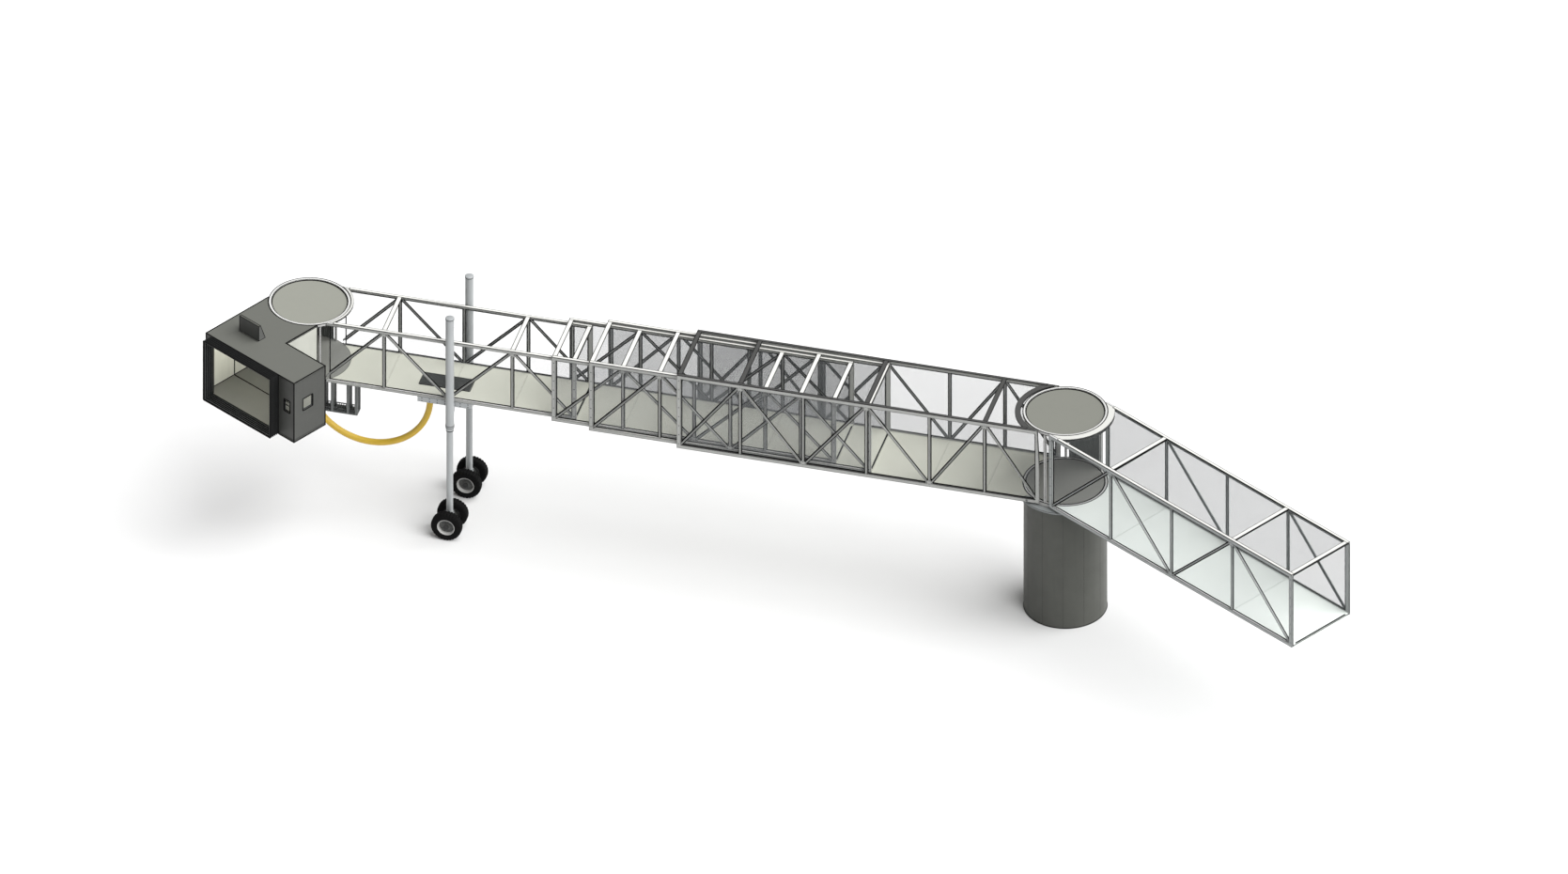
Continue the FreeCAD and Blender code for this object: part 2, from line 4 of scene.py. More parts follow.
import bmesh
import bpy
import numpy as np
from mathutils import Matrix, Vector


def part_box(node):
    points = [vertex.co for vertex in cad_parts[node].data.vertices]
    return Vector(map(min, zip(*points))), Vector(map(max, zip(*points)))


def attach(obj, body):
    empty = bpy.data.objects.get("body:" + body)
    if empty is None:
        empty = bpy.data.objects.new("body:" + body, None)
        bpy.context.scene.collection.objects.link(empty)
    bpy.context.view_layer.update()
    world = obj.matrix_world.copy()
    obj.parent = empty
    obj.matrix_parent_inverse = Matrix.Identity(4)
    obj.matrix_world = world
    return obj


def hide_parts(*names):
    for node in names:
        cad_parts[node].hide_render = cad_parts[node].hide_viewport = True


# Passenger boarding bridge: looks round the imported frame. Metres, +Z up.
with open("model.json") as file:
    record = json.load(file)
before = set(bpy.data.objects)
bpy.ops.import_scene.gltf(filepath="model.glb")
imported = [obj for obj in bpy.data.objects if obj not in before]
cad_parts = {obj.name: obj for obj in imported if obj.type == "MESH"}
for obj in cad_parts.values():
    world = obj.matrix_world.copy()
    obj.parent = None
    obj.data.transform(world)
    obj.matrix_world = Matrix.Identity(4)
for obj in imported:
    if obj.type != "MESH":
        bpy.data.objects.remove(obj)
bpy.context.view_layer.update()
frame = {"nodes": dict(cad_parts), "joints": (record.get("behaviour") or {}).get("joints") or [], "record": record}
nodes = frame["nodes"]
slots = {part["node"]: part["material_slot"] for part in frame["record"]["subparts"]}
joints = {joint["name"]: joint for joint in frame["joints"]}
tunnelAxis = joints["second_tunnel_slide"]["axis"]
tunnelAngle = math.atan2(tunnelAxis[1], tunnelAxis[0])
cabPivot = joints["cab_turn"]["pos_m"][:2]
cabAngle = math.radians(-90)
upward = np.array([0.0, 0.0, 1.0])

view = {"azimuth": 45.0, "elevation": 35.264, "across": 51.354, "moveRight": -9.215, "moveUp": 5.486,
        "distance": 80.0, "clipEnd": 400}


def makeCamera():
    azimuth = math.radians(view["azimuth"])
    elevation = math.radians(view["elevation"])
    right = np.array([math.cos(azimuth), math.sin(azimuth), 0])
    back = np.array([math.sin(azimuth) * math.cos(elevation), -math.cos(azimuth) * math.cos(elevation),
                     math.sin(elevation)])
    data = bpy.data.cameras.new("viewCamera")
    data.type = "ORTHO"
    data.ortho_scale = view["across"]
    data.clip_end = view["clipEnd"]
    camera = bpy.data.objects.new("viewCamera", data)
    bpy.context.scene.collection.objects.link(camera)
    camera.location = (right * view["moveRight"] + np.cross(back, right) * view["moveUp"]
                       + back * view["distance"])
    camera.rotation_euler = (math.pi / 2 - elevation, 0, azimuth)
    bpy.context.scene.camera = camera


makeCamera()
print("camera")

# Node materials. A Mix node's factor is socket 0, its colours are 6 and 7, and its colour output is 2
edgeMatch = {"inner": 0.955, "outer": 0.995, "samples": 4}
paint = {"blotch": 0.8, "shadow": 0.80, "topBlotch": 0.90, "peel": 0.025, "glossSpread": 0.12,
         "streakScale": (9, 9, 0.7)}
zinc = {"dark": 0.82, "edge": "#25282A", "edgeWidth": 0.012, "glossSpread": 0.1}
tube = {"dark": 0.86, "edge": "#2A2E30", "edgeWidth": 0.014, "metallic": 0.2, "rough": (0.22, 0.42)}
deckSheet = {"pitch": 0.055, "dark": 0.86, "groove": "#5A5B55", "edge": "#1B1C1B", "edgeWidth": 0.020,
             "rough": (0.62, 0.85)}
glazing = {"dark": 0.85, "rough": 0.06, "reflect": 0.3, "blend": 0.1}
cloth = {"thread": 0.016, "light": 1.7, "highlight": "#4A4C4B", "rough": 0.8, "sheen": 0.03, "shine": 0.15}
waveUnit = 0.314  # a wave texture of this scale repeats once a metre


def colour(text, share=1.0):
    # sRGB hex to linear light, times a share, with full alpha
    part = np.array([int(text[i:i + 2], 16) for i in (1, 3, 5)]) / 255
    linear = np.where(part <= 0.04045, part / 12.92, ((part + 0.055) / 1.055) ** 2.4)
    return (*(linear * share).tolist(), 1.0)


def addNode(tree, kind, sockets, **settings):
    # one node; a socket given as (node, output) is linked, anything else is its value; Mix mixes colours
    node = tree.nodes.new("ShaderNode" + kind)
    if kind == "Mix":
        node.data_type = "RGBA"
    for key, value in settings.items():
        setattr(node, key, value)
    for key, value in sockets.items():
        if isinstance(value, tuple) and isinstance(value[0], bpy.types.Node):
            tree.links.new(value[0].outputs[value[1]], node.inputs[key])
        else:
            node.inputs[key].default_value = value
    return node


def startMaterial(name):
    # the material, its tree and the object coordinates that every pattern starts from
    material = bpy.data.materials.new(name)
    material.use_nodes = True
    tree = material.node_tree
    tree.nodes.clear()
    return material, tree, (addNode(tree, "TexCoord", {}), "Object")


def endMaterial(tree, sockets):
    shader = addNode(tree, "BsdfPrincipled", sockets)
    addNode(tree, "OutputMaterial", {"Surface": (shader, "BSDF")})


def glossAndRelief(tree, gloss, low, high, relief, strength, depth):
    # roughness from low to high along one pattern, and a bump from another
    rough = addNode(tree, "MapRange", {"Value": gloss, "To Min": low, "To Max": high})
    bump = addNode(tree, "Bump", {"Strength": strength, "Distance": depth, "Height": relief})
    return {"Roughness": (rough, 0), "Normal": (bump, 0)}


def edged(tree, body, width, shade):
    # a dark line along every edge, a width wide, where the rounded normal differs from the flat one
    rounded = addNode(tree, "Bevel", {"Radius": width}, samples=edgeMatch["samples"])
    flat = addNode(tree, "NewGeometry", {})
    match = addNode(tree, "VectorMath", {0: (rounded, "Normal"), 1: (flat, "Normal")},
                    operation="DOT_PRODUCT")
    mask = addNode(tree, "MapRange", {"Value": (match, "Value"), "From Min": edgeMatch["inner"],
                                      "From Max": edgeMatch["outer"], "To Min": 1.0, "To Max": 0.0})
    return addNode(tree, "Mix", {0: (mask, 0), 6: (body, 2), 7: colour(shade)})


def paintedSteel(name, side, top, edge="#050606", edgeWidth=0.038, rough=0.55, streak=0.5):
    # sprayed polyurethane on steel: an even satin colour with slow blotches, rain streaks down the
    # sides, a top colour of its own on upward faces that is painted light and shade, and a dark line along every
    # edge and weld
    material, tree, where = startMaterial(name)
    slow = addNode(tree, "TexNoise", {"Vector": where, "Scale": 1 / paint["blotch"], "Detail": 4.0,
                                      "Roughness": 0.6})
    stretch = addNode(tree, "Mapping", {"Vector": where, "Scale": paint["streakScale"]})
    runs = addNode(tree, "TexNoise", {"Vector": (stretch, 0), "Scale": 1.0, "Detail": 3.0})
    runMask = addNode(tree, "MapRange", {"Value": (runs, 0), "From Min": 0.5, "From Max": 0.75, "To Min": 0.0,
                                         "To Max": streak})
    dark = colour(side, paint["shadow"])
    body = addNode(tree, "Mix", {0: (slow, 0), 6: colour(side), 7: dark})
    body = addNode(tree, "Mix", {0: (runMask, 0), 6: (body, 2), 7: dark})
    # upward faces take the top colour in place of the side colour; the two are set apart per finish to stand for
    # how light falls on tops and sides: painted light and shade
    face = addNode(tree, "NewGeometry", {})
    parts = addNode(tree, "SeparateXYZ", {"Vector": (face, "Normal")})
    facing = addNode(tree, "MapRange", {"Value": (parts, "Z"), "From Min": 0.6, "From Max": 0.9})
    paintedTopShade = addNode(tree, "Mix", {0: (slow, 0), 6: colour(top), 7: colour(top, paint["topBlotch"])})
    body = addNode(tree, "Mix", {0: (facing, 0), 6: (body, 2), 7: (paintedTopShade, 2)})
    body = edged(tree, body, edgeWidth, edge)
    # orange peel is about 2 mm across; drawn at 25 mm so that it shows
    peel = addNode(tree, "TexNoise", {"Vector": where, "Scale": 1 / paint["peel"], "Detail": 2.0})
    spread = paint["glossSpread"]
    relief = glossAndRelief(tree, (slow, 0), rough - spread, rough + spread, (peel, 0), 0.15, 0.002)
    endMaterial(tree, {"Base Color": (body, 2), "Metallic": 0.0, **relief})
    return material


def galvanisedSteel(name, shade, rough=0.38, metallic=0.75, grain=0.03):
    # hot-dip zinc: pale bluish grey, with 30 mm spangles that differ a little in shade and gloss
    material, tree, where = startMaterial(name)
    spangle = addNode(tree, "TexVoronoi", {"Vector": where, "Scale": 1 / grain})
    level = addNode(tree, "SeparateColor", {"Color": (spangle, "Color")})
    body = addNode(tree, "Mix", {0: (level, 0), 6: colour(shade), 7: colour(shade, zinc["dark"])})
    body = edged(tree, body, zinc["edgeWidth"], zinc["edge"])
    spread = zinc["glossSpread"]
    relief = glossAndRelief(tree, (level, 1), rough - spread, rough + spread, (spangle, 0), 0.1, 0.001)
    endMaterial(tree, {"Base Color": (body, 2), "Metallic": metallic, **relief})
    return material


def drawnTube(name, shade):
    # seamless tube, ground and lacquered: a silver sheen with fine rings left by the grinding belt
    material, tree, where = startMaterial(name)
    squash = addNode(tree, "Mapping", {"Vector": where, "Scale": (0.6, 0.6, 40)})
    rings = addNode(tree, "TexNoise", {"Vector": (squash, 0), "Scale": 2.0, "Detail": 5.0})
    slow = addNode(tree, "TexNoise", {"Vector": where, "Scale": 1.6})
    body = addNode(tree, "Mix", {0: (slow, 0), 6: colour(shade), 7: colour(shade, tube["dark"])})
    body = edged(tree, body, tube["edgeWidth"], tube["edge"])
    relief = glossAndRelief(tree, (rings, 0), *tube["rough"], (rings, 0), 0.12, 0.001)
    endMaterial(tree, {"Base Color": (body, 2), "Metallic": tube["metallic"], **relief})
    return material


def ribbedFloor(name, shade, angle):
    # studded sheet rubber on the decks: fine ribs along the walk, scuffed and a little dusty.
    # The real ribs are 6 mm apart; drawn at 55 mm so that they show
    material, tree, where = startMaterial(name)
    turned = addNode(tree, "Mapping", {"Vector": where, "Rotation": (0, 0, angle + math.pi / 2)},
                     vector_type="TEXTURE")
    ribs = addNode(tree, "TexWave", {"Vector": (turned, 0), "Scale": waveUnit / deckSheet["pitch"],
                                     "Distortion": 0.0}, wave_profile="SIN")
    scuff = addNode(tree, "TexNoise", {"Vector": where, "Scale": 1.1, "Detail": 6.0, "Roughness": 0.65})
    body = addNode(tree, "Mix", {0: (scuff, 0), 6: colour(shade), 7: colour(shade, deckSheet["dark"])})
    groove = addNode(tree, "MapRange", {"Value": (ribs, 0), "From Min": 0.0, "From Max": 0.35,
                                        "To Min": 0.16, "To Max": 0.0})
    body = addNode(tree, "Mix", {0: (groove, 0), 6: (body, 2), 7: colour(deckSheet["groove"])})
    body = edged(tree, body, deckSheet["edgeWidth"], deckSheet["edge"])
    relief = glossAndRelief(tree, (scuff, 0), *deckSheet["rough"], (ribs, 0), 0.3, 0.003)
    endMaterial(tree, {"Base Color": (body, 2), **relief})
    return material


def toughenedGlass(name, shade, clear, film=None, angle=0.0):
    # laminated safety glass: almost clear, with a grey veil of dust and faint water marks; the far
    # side's panes carry a grey sun film, found by the side of the middle line
    material, tree, where = startMaterial(name)
    stretch = addNode(tree, "Mapping", {"Vector": where, "Scale": (3, 3, 0.5)})
    marks = addNode(tree, "TexNoise", {"Vector": (stretch, 0), "Scale": 1.4, "Detail": 5.0,
                                       "Roughness": 0.6})
    body = addNode(tree, "Mix", {0: (marks, 0), 6: colour(shade), 7: colour(shade, glazing["dark"])})
    gloss = addNode(tree, "MapRange", {"Value": (marks, 0), "From Min": 0.45, "From Max": 0.8,
                                       "To Min": glazing["rough"], "To Max": glazing["rough"] + 0.12})
    turned = addNode(tree, "Mapping", {"Vector": where, "Rotation": (0, 0, angle)}, vector_type="TEXTURE")
    across = addNode(tree, "SeparateXYZ", {"Vector": (turned, 0)})
    blend, far = glazing["blend"], clear if film is None else film
    veil = addNode(tree, "MapRange", {"Value": (across, "Y"), "From Min": -blend, "From Max": blend,
                                      "To Min": far, "To Max": clear})
    endMaterial(tree, {"Base Color": (body, 2), "Roughness": (gloss, 0), "Alpha": (veil, 0),
                       "Specular IOR Level": glazing["reflect"]})
    return material


def vulcanisedRubber(name, shade, rough, shine):
    # black rubber: deep and dull, greyed where it has weathered, its skin pitted every 20 mm
    material, tree, where = startMaterial(name)
    skin = addNode(tree, "TexNoise", {"Vector": where, "Scale": 1 / 0.02, "Detail": 3.0})
    slow = addNode(tree, "TexNoise", {"Vector": where, "Scale": 2.5, "Detail": 4.0})
    weathered = (*[c * 1.9 + 0.004 for c in colour(shade)[:3]], 1.0)
    body = addNode(tree, "Mix", {0: (slow, 0), 6: colour(shade), 7: weathered})
    relief = glossAndRelief(tree, (slow, 0), rough - 0.1, rough + 0.12, (skin, 0), 0.35, 0.002)
    endMaterial(tree, {"Base Color": (body, 2), "Specular IOR Level": shine, **relief})
    return material


def coatedFabric(name, shade):
    # woven polyester with a rubber coat: near black, with the weave's crossing threads and a faint
    # sheen along the folds. The threads are 1 mm apart; drawn at 16 mm so that they show
    material, tree, where = startMaterial(name)
    warp, weft = [addNode(tree, "TexWave", {"Vector": where, "Scale": waveUnit / cloth["thread"]},
                          bands_direction=way) for way in "XZ"]
    weave = addNode(tree, "Math", {0: (warp, 1), 1: (weft, 1)}, operation="MULTIPLY")
    slow = addNode(tree, "TexNoise", {"Vector": where, "Scale": 3.0, "Detail": 4.0})
    body = addNode(tree, "Mix", {0: (slow, 0), 6: colour(shade), 7: colour(shade, cloth["light"])})
    lift = addNode(tree, "Math", {0: (weave, 0), 1: 0.10}, operation="MULTIPLY")
    body = addNode(tree, "Mix", {0: (lift, 0), 6: (body, 2), 7: colour(cloth["highlight"])})
    bump = addNode(tree, "Bump", {"Strength": 0.3, "Distance": 0.002, "Height": (weave, 0)})
    endMaterial(tree, {"Base Color": (body, 2), "Roughness": cloth["rough"], "Normal": (bump, 0),
                       "Sheen Weight": cloth["sheen"], "Specular IOR Level": cloth["shine"]})
    return material


def castConcrete(name, shade):
    # power-floated concrete apron: pale, nearly even, with soft clouds and a fine sand grain
    material, tree, where = startMaterial(name)
    cloud = addNode(tree, "TexNoise", {"Vector": where, "Scale": 0.15, "Detail": 6.0})
    grain = addNode(tree, "TexNoise", {"Vector": where, "Scale": 1 / 0.03})
    body = addNode(tree, "Mix", {0: (cloud, 0), 6: colour(shade), 7: colour(shade, 0.97)})
    bump = addNode(tree, "Bump", {"Strength": 0.05, "Distance": 0.002, "Height": (grain, 0)})
    endMaterial(tree, {"Base Color": (body, 2), "Roughness": 0.9, "Normal": (bump, 0),
                       "Specular IOR Level": 0.1})
    return material


# a paintedSteel finish's second colour is for its sides and its third for its upward faces; the difference between
# them is painted light and shade
finishes = {
    "pedestal_paint": paintedSteel("pedestalPaint", "#474843", "#6A6B65"),
    "track_steel": paintedSteel("trackPaint", "#7C8080", "#8A8E8E"),
    "round_deck": paintedSteel("roundDeckCovering", "#747570", "#747570", rough=0.75),
    "white_ring": paintedSteel("whiteEnamel", "#B0B0AE", "#BCBCBA", rough=0.35, streak=0.15, edgeWidth=0.042),
    "round_roof": paintedSteel("roundRoofSheet", "#696A63", "#6C6D66", edgeWidth=0.012),
    "slats": paintedSteel("slatCoating", "#4A4D4C", "#4A4D4C", rough=0.4, edgeWidth=0.004),
    "walkway_frame": paintedSteel("walkwayPaint", "#A0A4A3", "#BEBEBE", edgeWidth=0.042),
    "walkway_deck": ribbedFloor("walkwayFloorRubber", "#DCE2DE", 0.0),
    "clear_glass": toughenedGlass("sideGlass", "#7C7F81", 0.11, 0.23, tunnelAngle),
    "roof_glass": toughenedGlass("roofGlass", "#7A7E7E", 0.06),
    "tunnel_a_frame": paintedSteel("firstTunnelPaint", "#A0A19E", "#383837", edgeWidth=0.040),
    "tunnel_b_frame": paintedSteel("secondTunnelPaint", "#9A9B98", "#B8B8B4", edgeWidth=0.040),
    "tunnel_c_frame": paintedSteel("thirdTunnelPaint", "#9A9B98", "#B8B8B4", edgeWidth=0.040),
    "tunnel_d_frame": paintedSteel("lastTunnelPaint", "#9A9B98", "#BABAB8", edgeWidth=0.040),
    "tunnel_deck": ribbedFloor("tunnelFloorRubber", "#BCBDB1", tunnelAngle),
    "slide_shoe": galvanisedSteel("shoeZinc", "#8A8E90"),
    "column_paint": drawnTube("columnLacquer", "#9C9FA0"),
    "hatch_paint": paintedSteel("hatchPaint", "#232422", "#242624"),
    "round_roof_light": paintedSteel("cabRoundRoofSheet", "#7A7B73", "#7C7D75", edgeWidth=0.012),
    "yellow_hose": paintedSteel("hoseJacket", "#D0AC34", "#D4B23C", edge="#5A4A18", rough=0.4, streak=0.2),
    "basket_steel": paintedSteel("basketPaint", "#666968", "#747776"),
    "cab_deck": paintedSteel("cabFloorCovering", "#343532", "#6E6F69", rough=0.75),
    "cab_roof_paint": paintedSteel("cabRoofPaint", "#545550", "#565752"),
    "cab_paint": paintedSteel("cabPanelPaint", "#393A37", "#464744"),
    "bellows_fabric": coatedFabric("bellowsFabric", "#0E0F0F"),
    "hood_paint": paintedSteel("hoodPaint", "#4E4F4D", "#4C4D48"),
    "lift_steel": drawnTube("liftTubeLacquer", "#9C9FA0"),
    "head_paint": paintedSteel("headPaint", "#141515", "#1C1D1D"),
    "tyre_rubber": vulcanisedRubber("tyreRubber", "#010101", 0.85, 0.12),
}
sealRubber = vulcanisedRubber("sealRubber", "#020202", 0.8, 0.08)
boltZinc = galvanisedSteel("boltZinc", "#707476", grain=0.012)
hoopSteel = galvanisedSteel("hoopSteel", "#585A5A", metallic=0.1)
rimEnamel = paintedSteel("rimEnamel", "#A6A6A4", "#A6A6A4", rough=0.35, edgeWidth=0.010)
lightCover = paintedSteel("lightCoverPaint", "#9A9B98", "#C6C6C2", edgeWidth=0.008)
darkCover = paintedSteel("darkCoverPaint", "#383837", "#383837", edgeWidth=0.008)
hubPaint = paintedSteel("hubPaint", "#4C4D4B", "#4C4D4B", rough=0.45, edgeWidth=0.012)
creamLining, creamCladding = [paintedSteel(name, shade, shade, edge="#3A3B36", rough=0.5, edgeWidth=0.010)
                              for name, shade in (("liningSheet", "#EBECE0"), ("claddingSheet", "#A6A79F"))]
# the beams over the glass roofs have black glazing rubber down both sides
lightBeams = paintedSteel("lightBeamPaint", "#161717", "#B6B6B2", edgeWidth=0.036)
special = {
    "tunnel_a_roof_frame": paintedSteel("firstBeamPaint", "#242424", "#383837"),
    "tunnel_d_glass": toughenedGlass("lastTunnelGlass", "#76797B", 0.06),
    "walkway_glass": toughenedGlass("walkwaySideGlass", "#76797B", 0.11, 0.28, math.pi),
    **{name + "_roof_frame": lightBeams for name in ("tunnel_b", "tunnel_c", "tunnel_d", "walkway")},
}
for node, thing in nodes.items():
    thing.data.materials.clear()
    thing.data.materials.append(special.get(node, finishes[slots[node]]))
print("materials", len(bpy.data.materials))

# Shape makers, each worked out as whole arrays


def at(x, y, z):
    # points whose coordinates are each an array or one number
    return np.stack(np.broadcast_arrays(x, y, z), -1).astype(float)


def turn(points, angle, centre=(0.0, 0.0)):
    # plan turn about a vertical line: x' = x cos - y sin, y' = x sin + y cos, then moved to the centre
    out = np.array(points, float)
    c, s = math.cos(angle), math.sin(angle)
    x, y = out[..., 0].copy(), out[..., 1].copy()
    out[..., 0] = c * x - s * y + centre[0]
    out[..., 1] = s * x + c * y + centre[1]
    return out


def inTunnel(points):
    return turn(points, tunnelAngle)


def inCab(points):
    return turn(points, cabAngle, cabPivot)


def atPivot(points):
    return turn(points, 0.0, cabPivot)


def inWalkway(points):
    return np.array(points, float)


def circle(count, first=0.0):
    # unit circle at even steps
    angle = first + np.arange(count) * 2 * math.pi / count
    return np.stack([np.cos(angle), np.sin(angle)], -1)


def gridFaces(rows, columns, wrapRows=False, wrapColumns=False):
    # four neighbours of a rows by columns grid make a face, wrapped round where asked
    i, j = np.meshgrid(np.arange(rows if wrapRows else rows - 1),
                       np.arange(columns if wrapColumns else columns - 1), indexing="ij")
    below, beside = (i + 1) % rows, (j + 1) % columns
    return np.stack([i * columns + j, i * columns + beside, below * columns + beside,
                     below * columns + j], -1).reshape(-1, 4)


def endFaces(rows, columns):
    # the first and last row closed by one face each
    return np.stack([np.arange(columns), (rows - 1) * columns + np.arange(columns)])


def prismFaces(count, size):
    # walls and ends of prisms whose two outlines follow each other
    base, k = np.arange(count)[:, None] * 2 * size, np.arange(size)
    near, far = k, (k + 1) % size
    walls = np.stack([base + near, base + far, base + size + far, base + size + near], -1)
    return [walls.reshape(-1, 4), np.concatenate([base + k, base + size + k])]


def bars(starts, ends, side, profile):
    # straight bars: point = start or end + profile x * (side cross direction) + profile y * side
    starts, ends = np.atleast_2d(starts).astype(float), np.atleast_2d(ends).astype(float)
    along = ends - starts
    along /= np.linalg.norm(along, axis=1)[:, None]
    side = np.broadcast_to(np.asarray(side, float), starts.shape)
    across = np.cross(side, along)
    across /= np.linalg.norm(across, axis=1)[:, None]
    offset = profile[None, :, 0, None] * across[:, None, :] + profile[None, :, 1, None] * side[:, None, :]
    points = np.stack([starts[:, None] + offset, ends[:, None] + offset], 1)
    return points, prismFaces(len(starts), len(profile))


def spun(profile, centre, steps, axis=upward):
    # surface of revolution of a closed (radius, height) outline:
    # point = centre + r cos a * first + r sin a * second + h * axis
    axis = np.asarray(axis, float)
    first = np.cross(axis, upward if abs(axis[2]) < 0.9 else (0.0, -1.0, 0.0))
    first /= np.linalg.norm(first)
    second = np.cross(axis, first)
    profile = np.asarray(profile, float)
    spoke = circle(steps)[:, None, :1] * first + circle(steps)[:, None, 1:] * second
    points = np.asarray(centre, float) + profile[None, :, :1] * spoke + profile[None, :, 1:] * axis
    return points, [gridFaces(steps, len(profile), True, True)]


def bolts(centres, normal, radius, height):
    # hexagon heads on washers: rings of (share of radius, share of height) about each centre
    centres = np.atleast_2d(centres).astype(float)
    normal = np.broadcast_to(np.asarray(normal, float), centres.shape)
    first = np.cross(normal, np.where(np.abs(normal[:, 2:]) > 0.9, (1.0, 0.0, 0.0), (0.0, 0.0, 1.0)))
    second = np.cross(normal, first)
    rings = np.array([(1.6, 0.0), (1.6, 0.15), (1.0, 0.2), (1.0, 0.85), (0.78, 1.0)])
    sides, count = circle(6), len(rings)
    spoke = sides[None, :, :1] * first[:, None] + sides[None, :, 1:] * second[:, None]
    points = (centres[:, None, None] + rings[None, :, None, :1] * radius * spoke[:, None]
              + rings[None, :, None, 1:] * height * normal[:, None, None])
    base = np.arange(len(centres))[:, None] * count * 6
    skin = (base[:, :, None] + gridFaces(count, 6, False, True)[None]).reshape(-1, 4)
    caps = np.concatenate([base + np.arange(6), base + (count - 1) * 6 + np.arange(6)])
    return points, [skin, caps]


def plates(centres, outline, push):
    # flat plates on a side wall: point = centre + outline x along + outline y up, and that pushed out
    face = centres[:, None] + at(outline[..., 0], 0, outline[..., 1])
    return np.stack([face, face + push], 1), prismFaces(len(centres), outline.shape[1])


def roundedLoop(low, high, radius, steps=5):
    # rounded rectangle: quarter circles about the four inner corners, with their outward normals
    angle = np.linspace(0, math.pi / 2, steps)[None, :] + np.arange(4)[:, None] * math.pi / 2
    normal = np.stack([np.cos(angle), np.sin(angle)], -1)
    corner = np.array([(high[0], high[1]), (low[0], high[1]), (low[0], low[1]), (high[0], low[1])])
    inward = np.array([(-1, -1), (1, -1), (1, 1), (-1, 1)]) * radius
    return ((corner + inward)[:, None] + radius * normal).reshape(-1, 2), normal.reshape(-1, 2)


planes = {"yz": ((0, 1, 0), (0, 0, 1), (1, 0, 0)), "xz": ((1, 0, 0), (0, 0, 1), (0, 1, 0)),
          "xy": ((1, 0, 0), (0, 1, 0), (0, 0, 1))}


def loopSweep(loop, profile, origin=(0, 0, 0), plane="yz"):
    # closed outline carried round a loop: point = origin + (loop + p0 * normal) in the plane + p1 * depth
    ring, normals = loop
    first, second, depth = np.array(planes[plane], float)
    flat = ring[:, None] + profile[None, :, :1] * normals[:, None]
    points = (np.asarray(origin, float) + flat[..., :1] * first + flat[..., 1:] * second
              + profile[None, :, 1:] * depth)
    return points, [gridFaces(len(ring), len(profile), True, True)]


def halfRound(width, height):
    angle = np.linspace(0, math.pi, 6)
    return np.stack([width / 2 * np.cos(angle), height * np.sin(angle)], -1)


def roundBead(radius):
    return radius * circle(8)


def block(width, height):
    # rectangle with broken corners, standing on the line y = 0
    w, h, c = width / 2, height, min(width, height) * 0.2
    return np.array([(-w, 0), (w, 0), (w, h - c), (w - c, h), (-w + c, h), (-w, h - c)])


sharpAngle = 40


def putPiece(name, parts, place, material, body, stands=(), smooth=False):
    # one object of several (points, faces) parts, placed by one turn, riding on a body
    points, faces, offset = [], [], 0
    for part, blocks in parts:
        part = place(part).reshape(-1, 3)
        points.append(part)
        for rows in blocks:
            faces += (rows + offset).tolist()
        offset += len(part)
    mesh = bpy.data.meshes.new(name)
    mesh.from_pydata(np.concatenate(points).tolist(), [], faces)
    shell = bmesh.new()
    shell.from_mesh(mesh)
    bmesh.ops.recalc_face_normals(shell, faces=shell.faces)
    shell.to_mesh(mesh)
    shell.free()
    mesh.materials.append(material)
    if smooth:
        mesh.polygons.foreach_set("use_smooth", np.ones(len(mesh.polygons), bool))
        mesh.set_sharp_from_angle(angle=math.radians(sharpAngle))
    thing = bpy.data.objects.new(name, mesh)
    bpy.context.scene.collection.objects.link(thing)
    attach(thing, body)
    if stands:
        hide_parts(*stands)


def putFinished(name, parts, place, body, slot, stands=(), smooth=False):
    # a piece in the material of its slot
    putPiece(name, parts, place, finishes[slot], body, stands, smooth)


def putSeal(name, parts, place, body, smooth=False):
    putPiece(name, parts, place, sealRubber, body, smooth=smooth)


def putZinc(name, parts, place, body, smooth=False):
    putPiece(name, parts, place, boltZinc, body, smooth=smooth)


# Lattice sides of the walkway and the four tunnels
lattice = {"bottom": 4.86, "top": 7.76, "half": 1.35, "step": 0.09, "chordWidth": 0.075, "post": 0.14,
           "vertical": 0.060, "diagonal": 0.046, "barInset": 0.007, "glass": 0.008}
gasket = {"width": 0.038, "height": 0.012}
gusset = {"width": 0.26, "depth": 0.13, "lap": 0.05, "thickness": 0.005, "shoulder": (0.9, 0.02),
          "neck": 0.35, "holeSide": 0.6, "holeRise": 0.015, "topHole": 0.75, "footHole": 0.5,
          "bolt": (0.012, 0.006)}
postBolts = {"size": (0.013, 0.006), "foot": 0.05, "pitch": 0.36}
sections = [
    {"name": "walkway", "level": 0, "chord": 0.12, "joints": np.linspace(0.58, 11.84, 5),
     "reach": (0.60, 11.84), "cover": (0.95, 11.84), "beams": (3.395, 9.025, 11.755)},
    {"name": "tunnel_a", "level": 0, "chord": 0.13, "reach": (0.60, 12.82), "cover": (0.95, 12.82),
     "joints": np.array([12.82, 10.68, 8.54, 6.40, 4.26, 2.39, 0.52]), "beams": (2.39, 6.40, 10.68, 12.735)},
    {"name": "tunnel_b", "level": 1, "chord": 0.12, "joints": np.linspace(15.82, 6.26, 5),
     "reach": (6.26, 15.82), "cover": (6.26, 15.82), "beams": (6.345, 8.65, 13.43, 15.735)},
    {"name": "tunnel_c", "level": 2, "chord": 0.11, "joints": np.linspace(17.11, 7.47, 5),
     "reach": (7.47, 17.11), "cover": (7.47, 17.11), "beams": (7.555, 9.88, 14.70, 17.025)},
    {"name": "tunnel_d", "level": 3, "chord": 0.10, "joints": np.linspace(25.00, 16.30, 5),
     "reach": (16.30, 24.68), "cover": (16.30, 24.55), "beams": (16.385, 18.475, 22.825)},
]
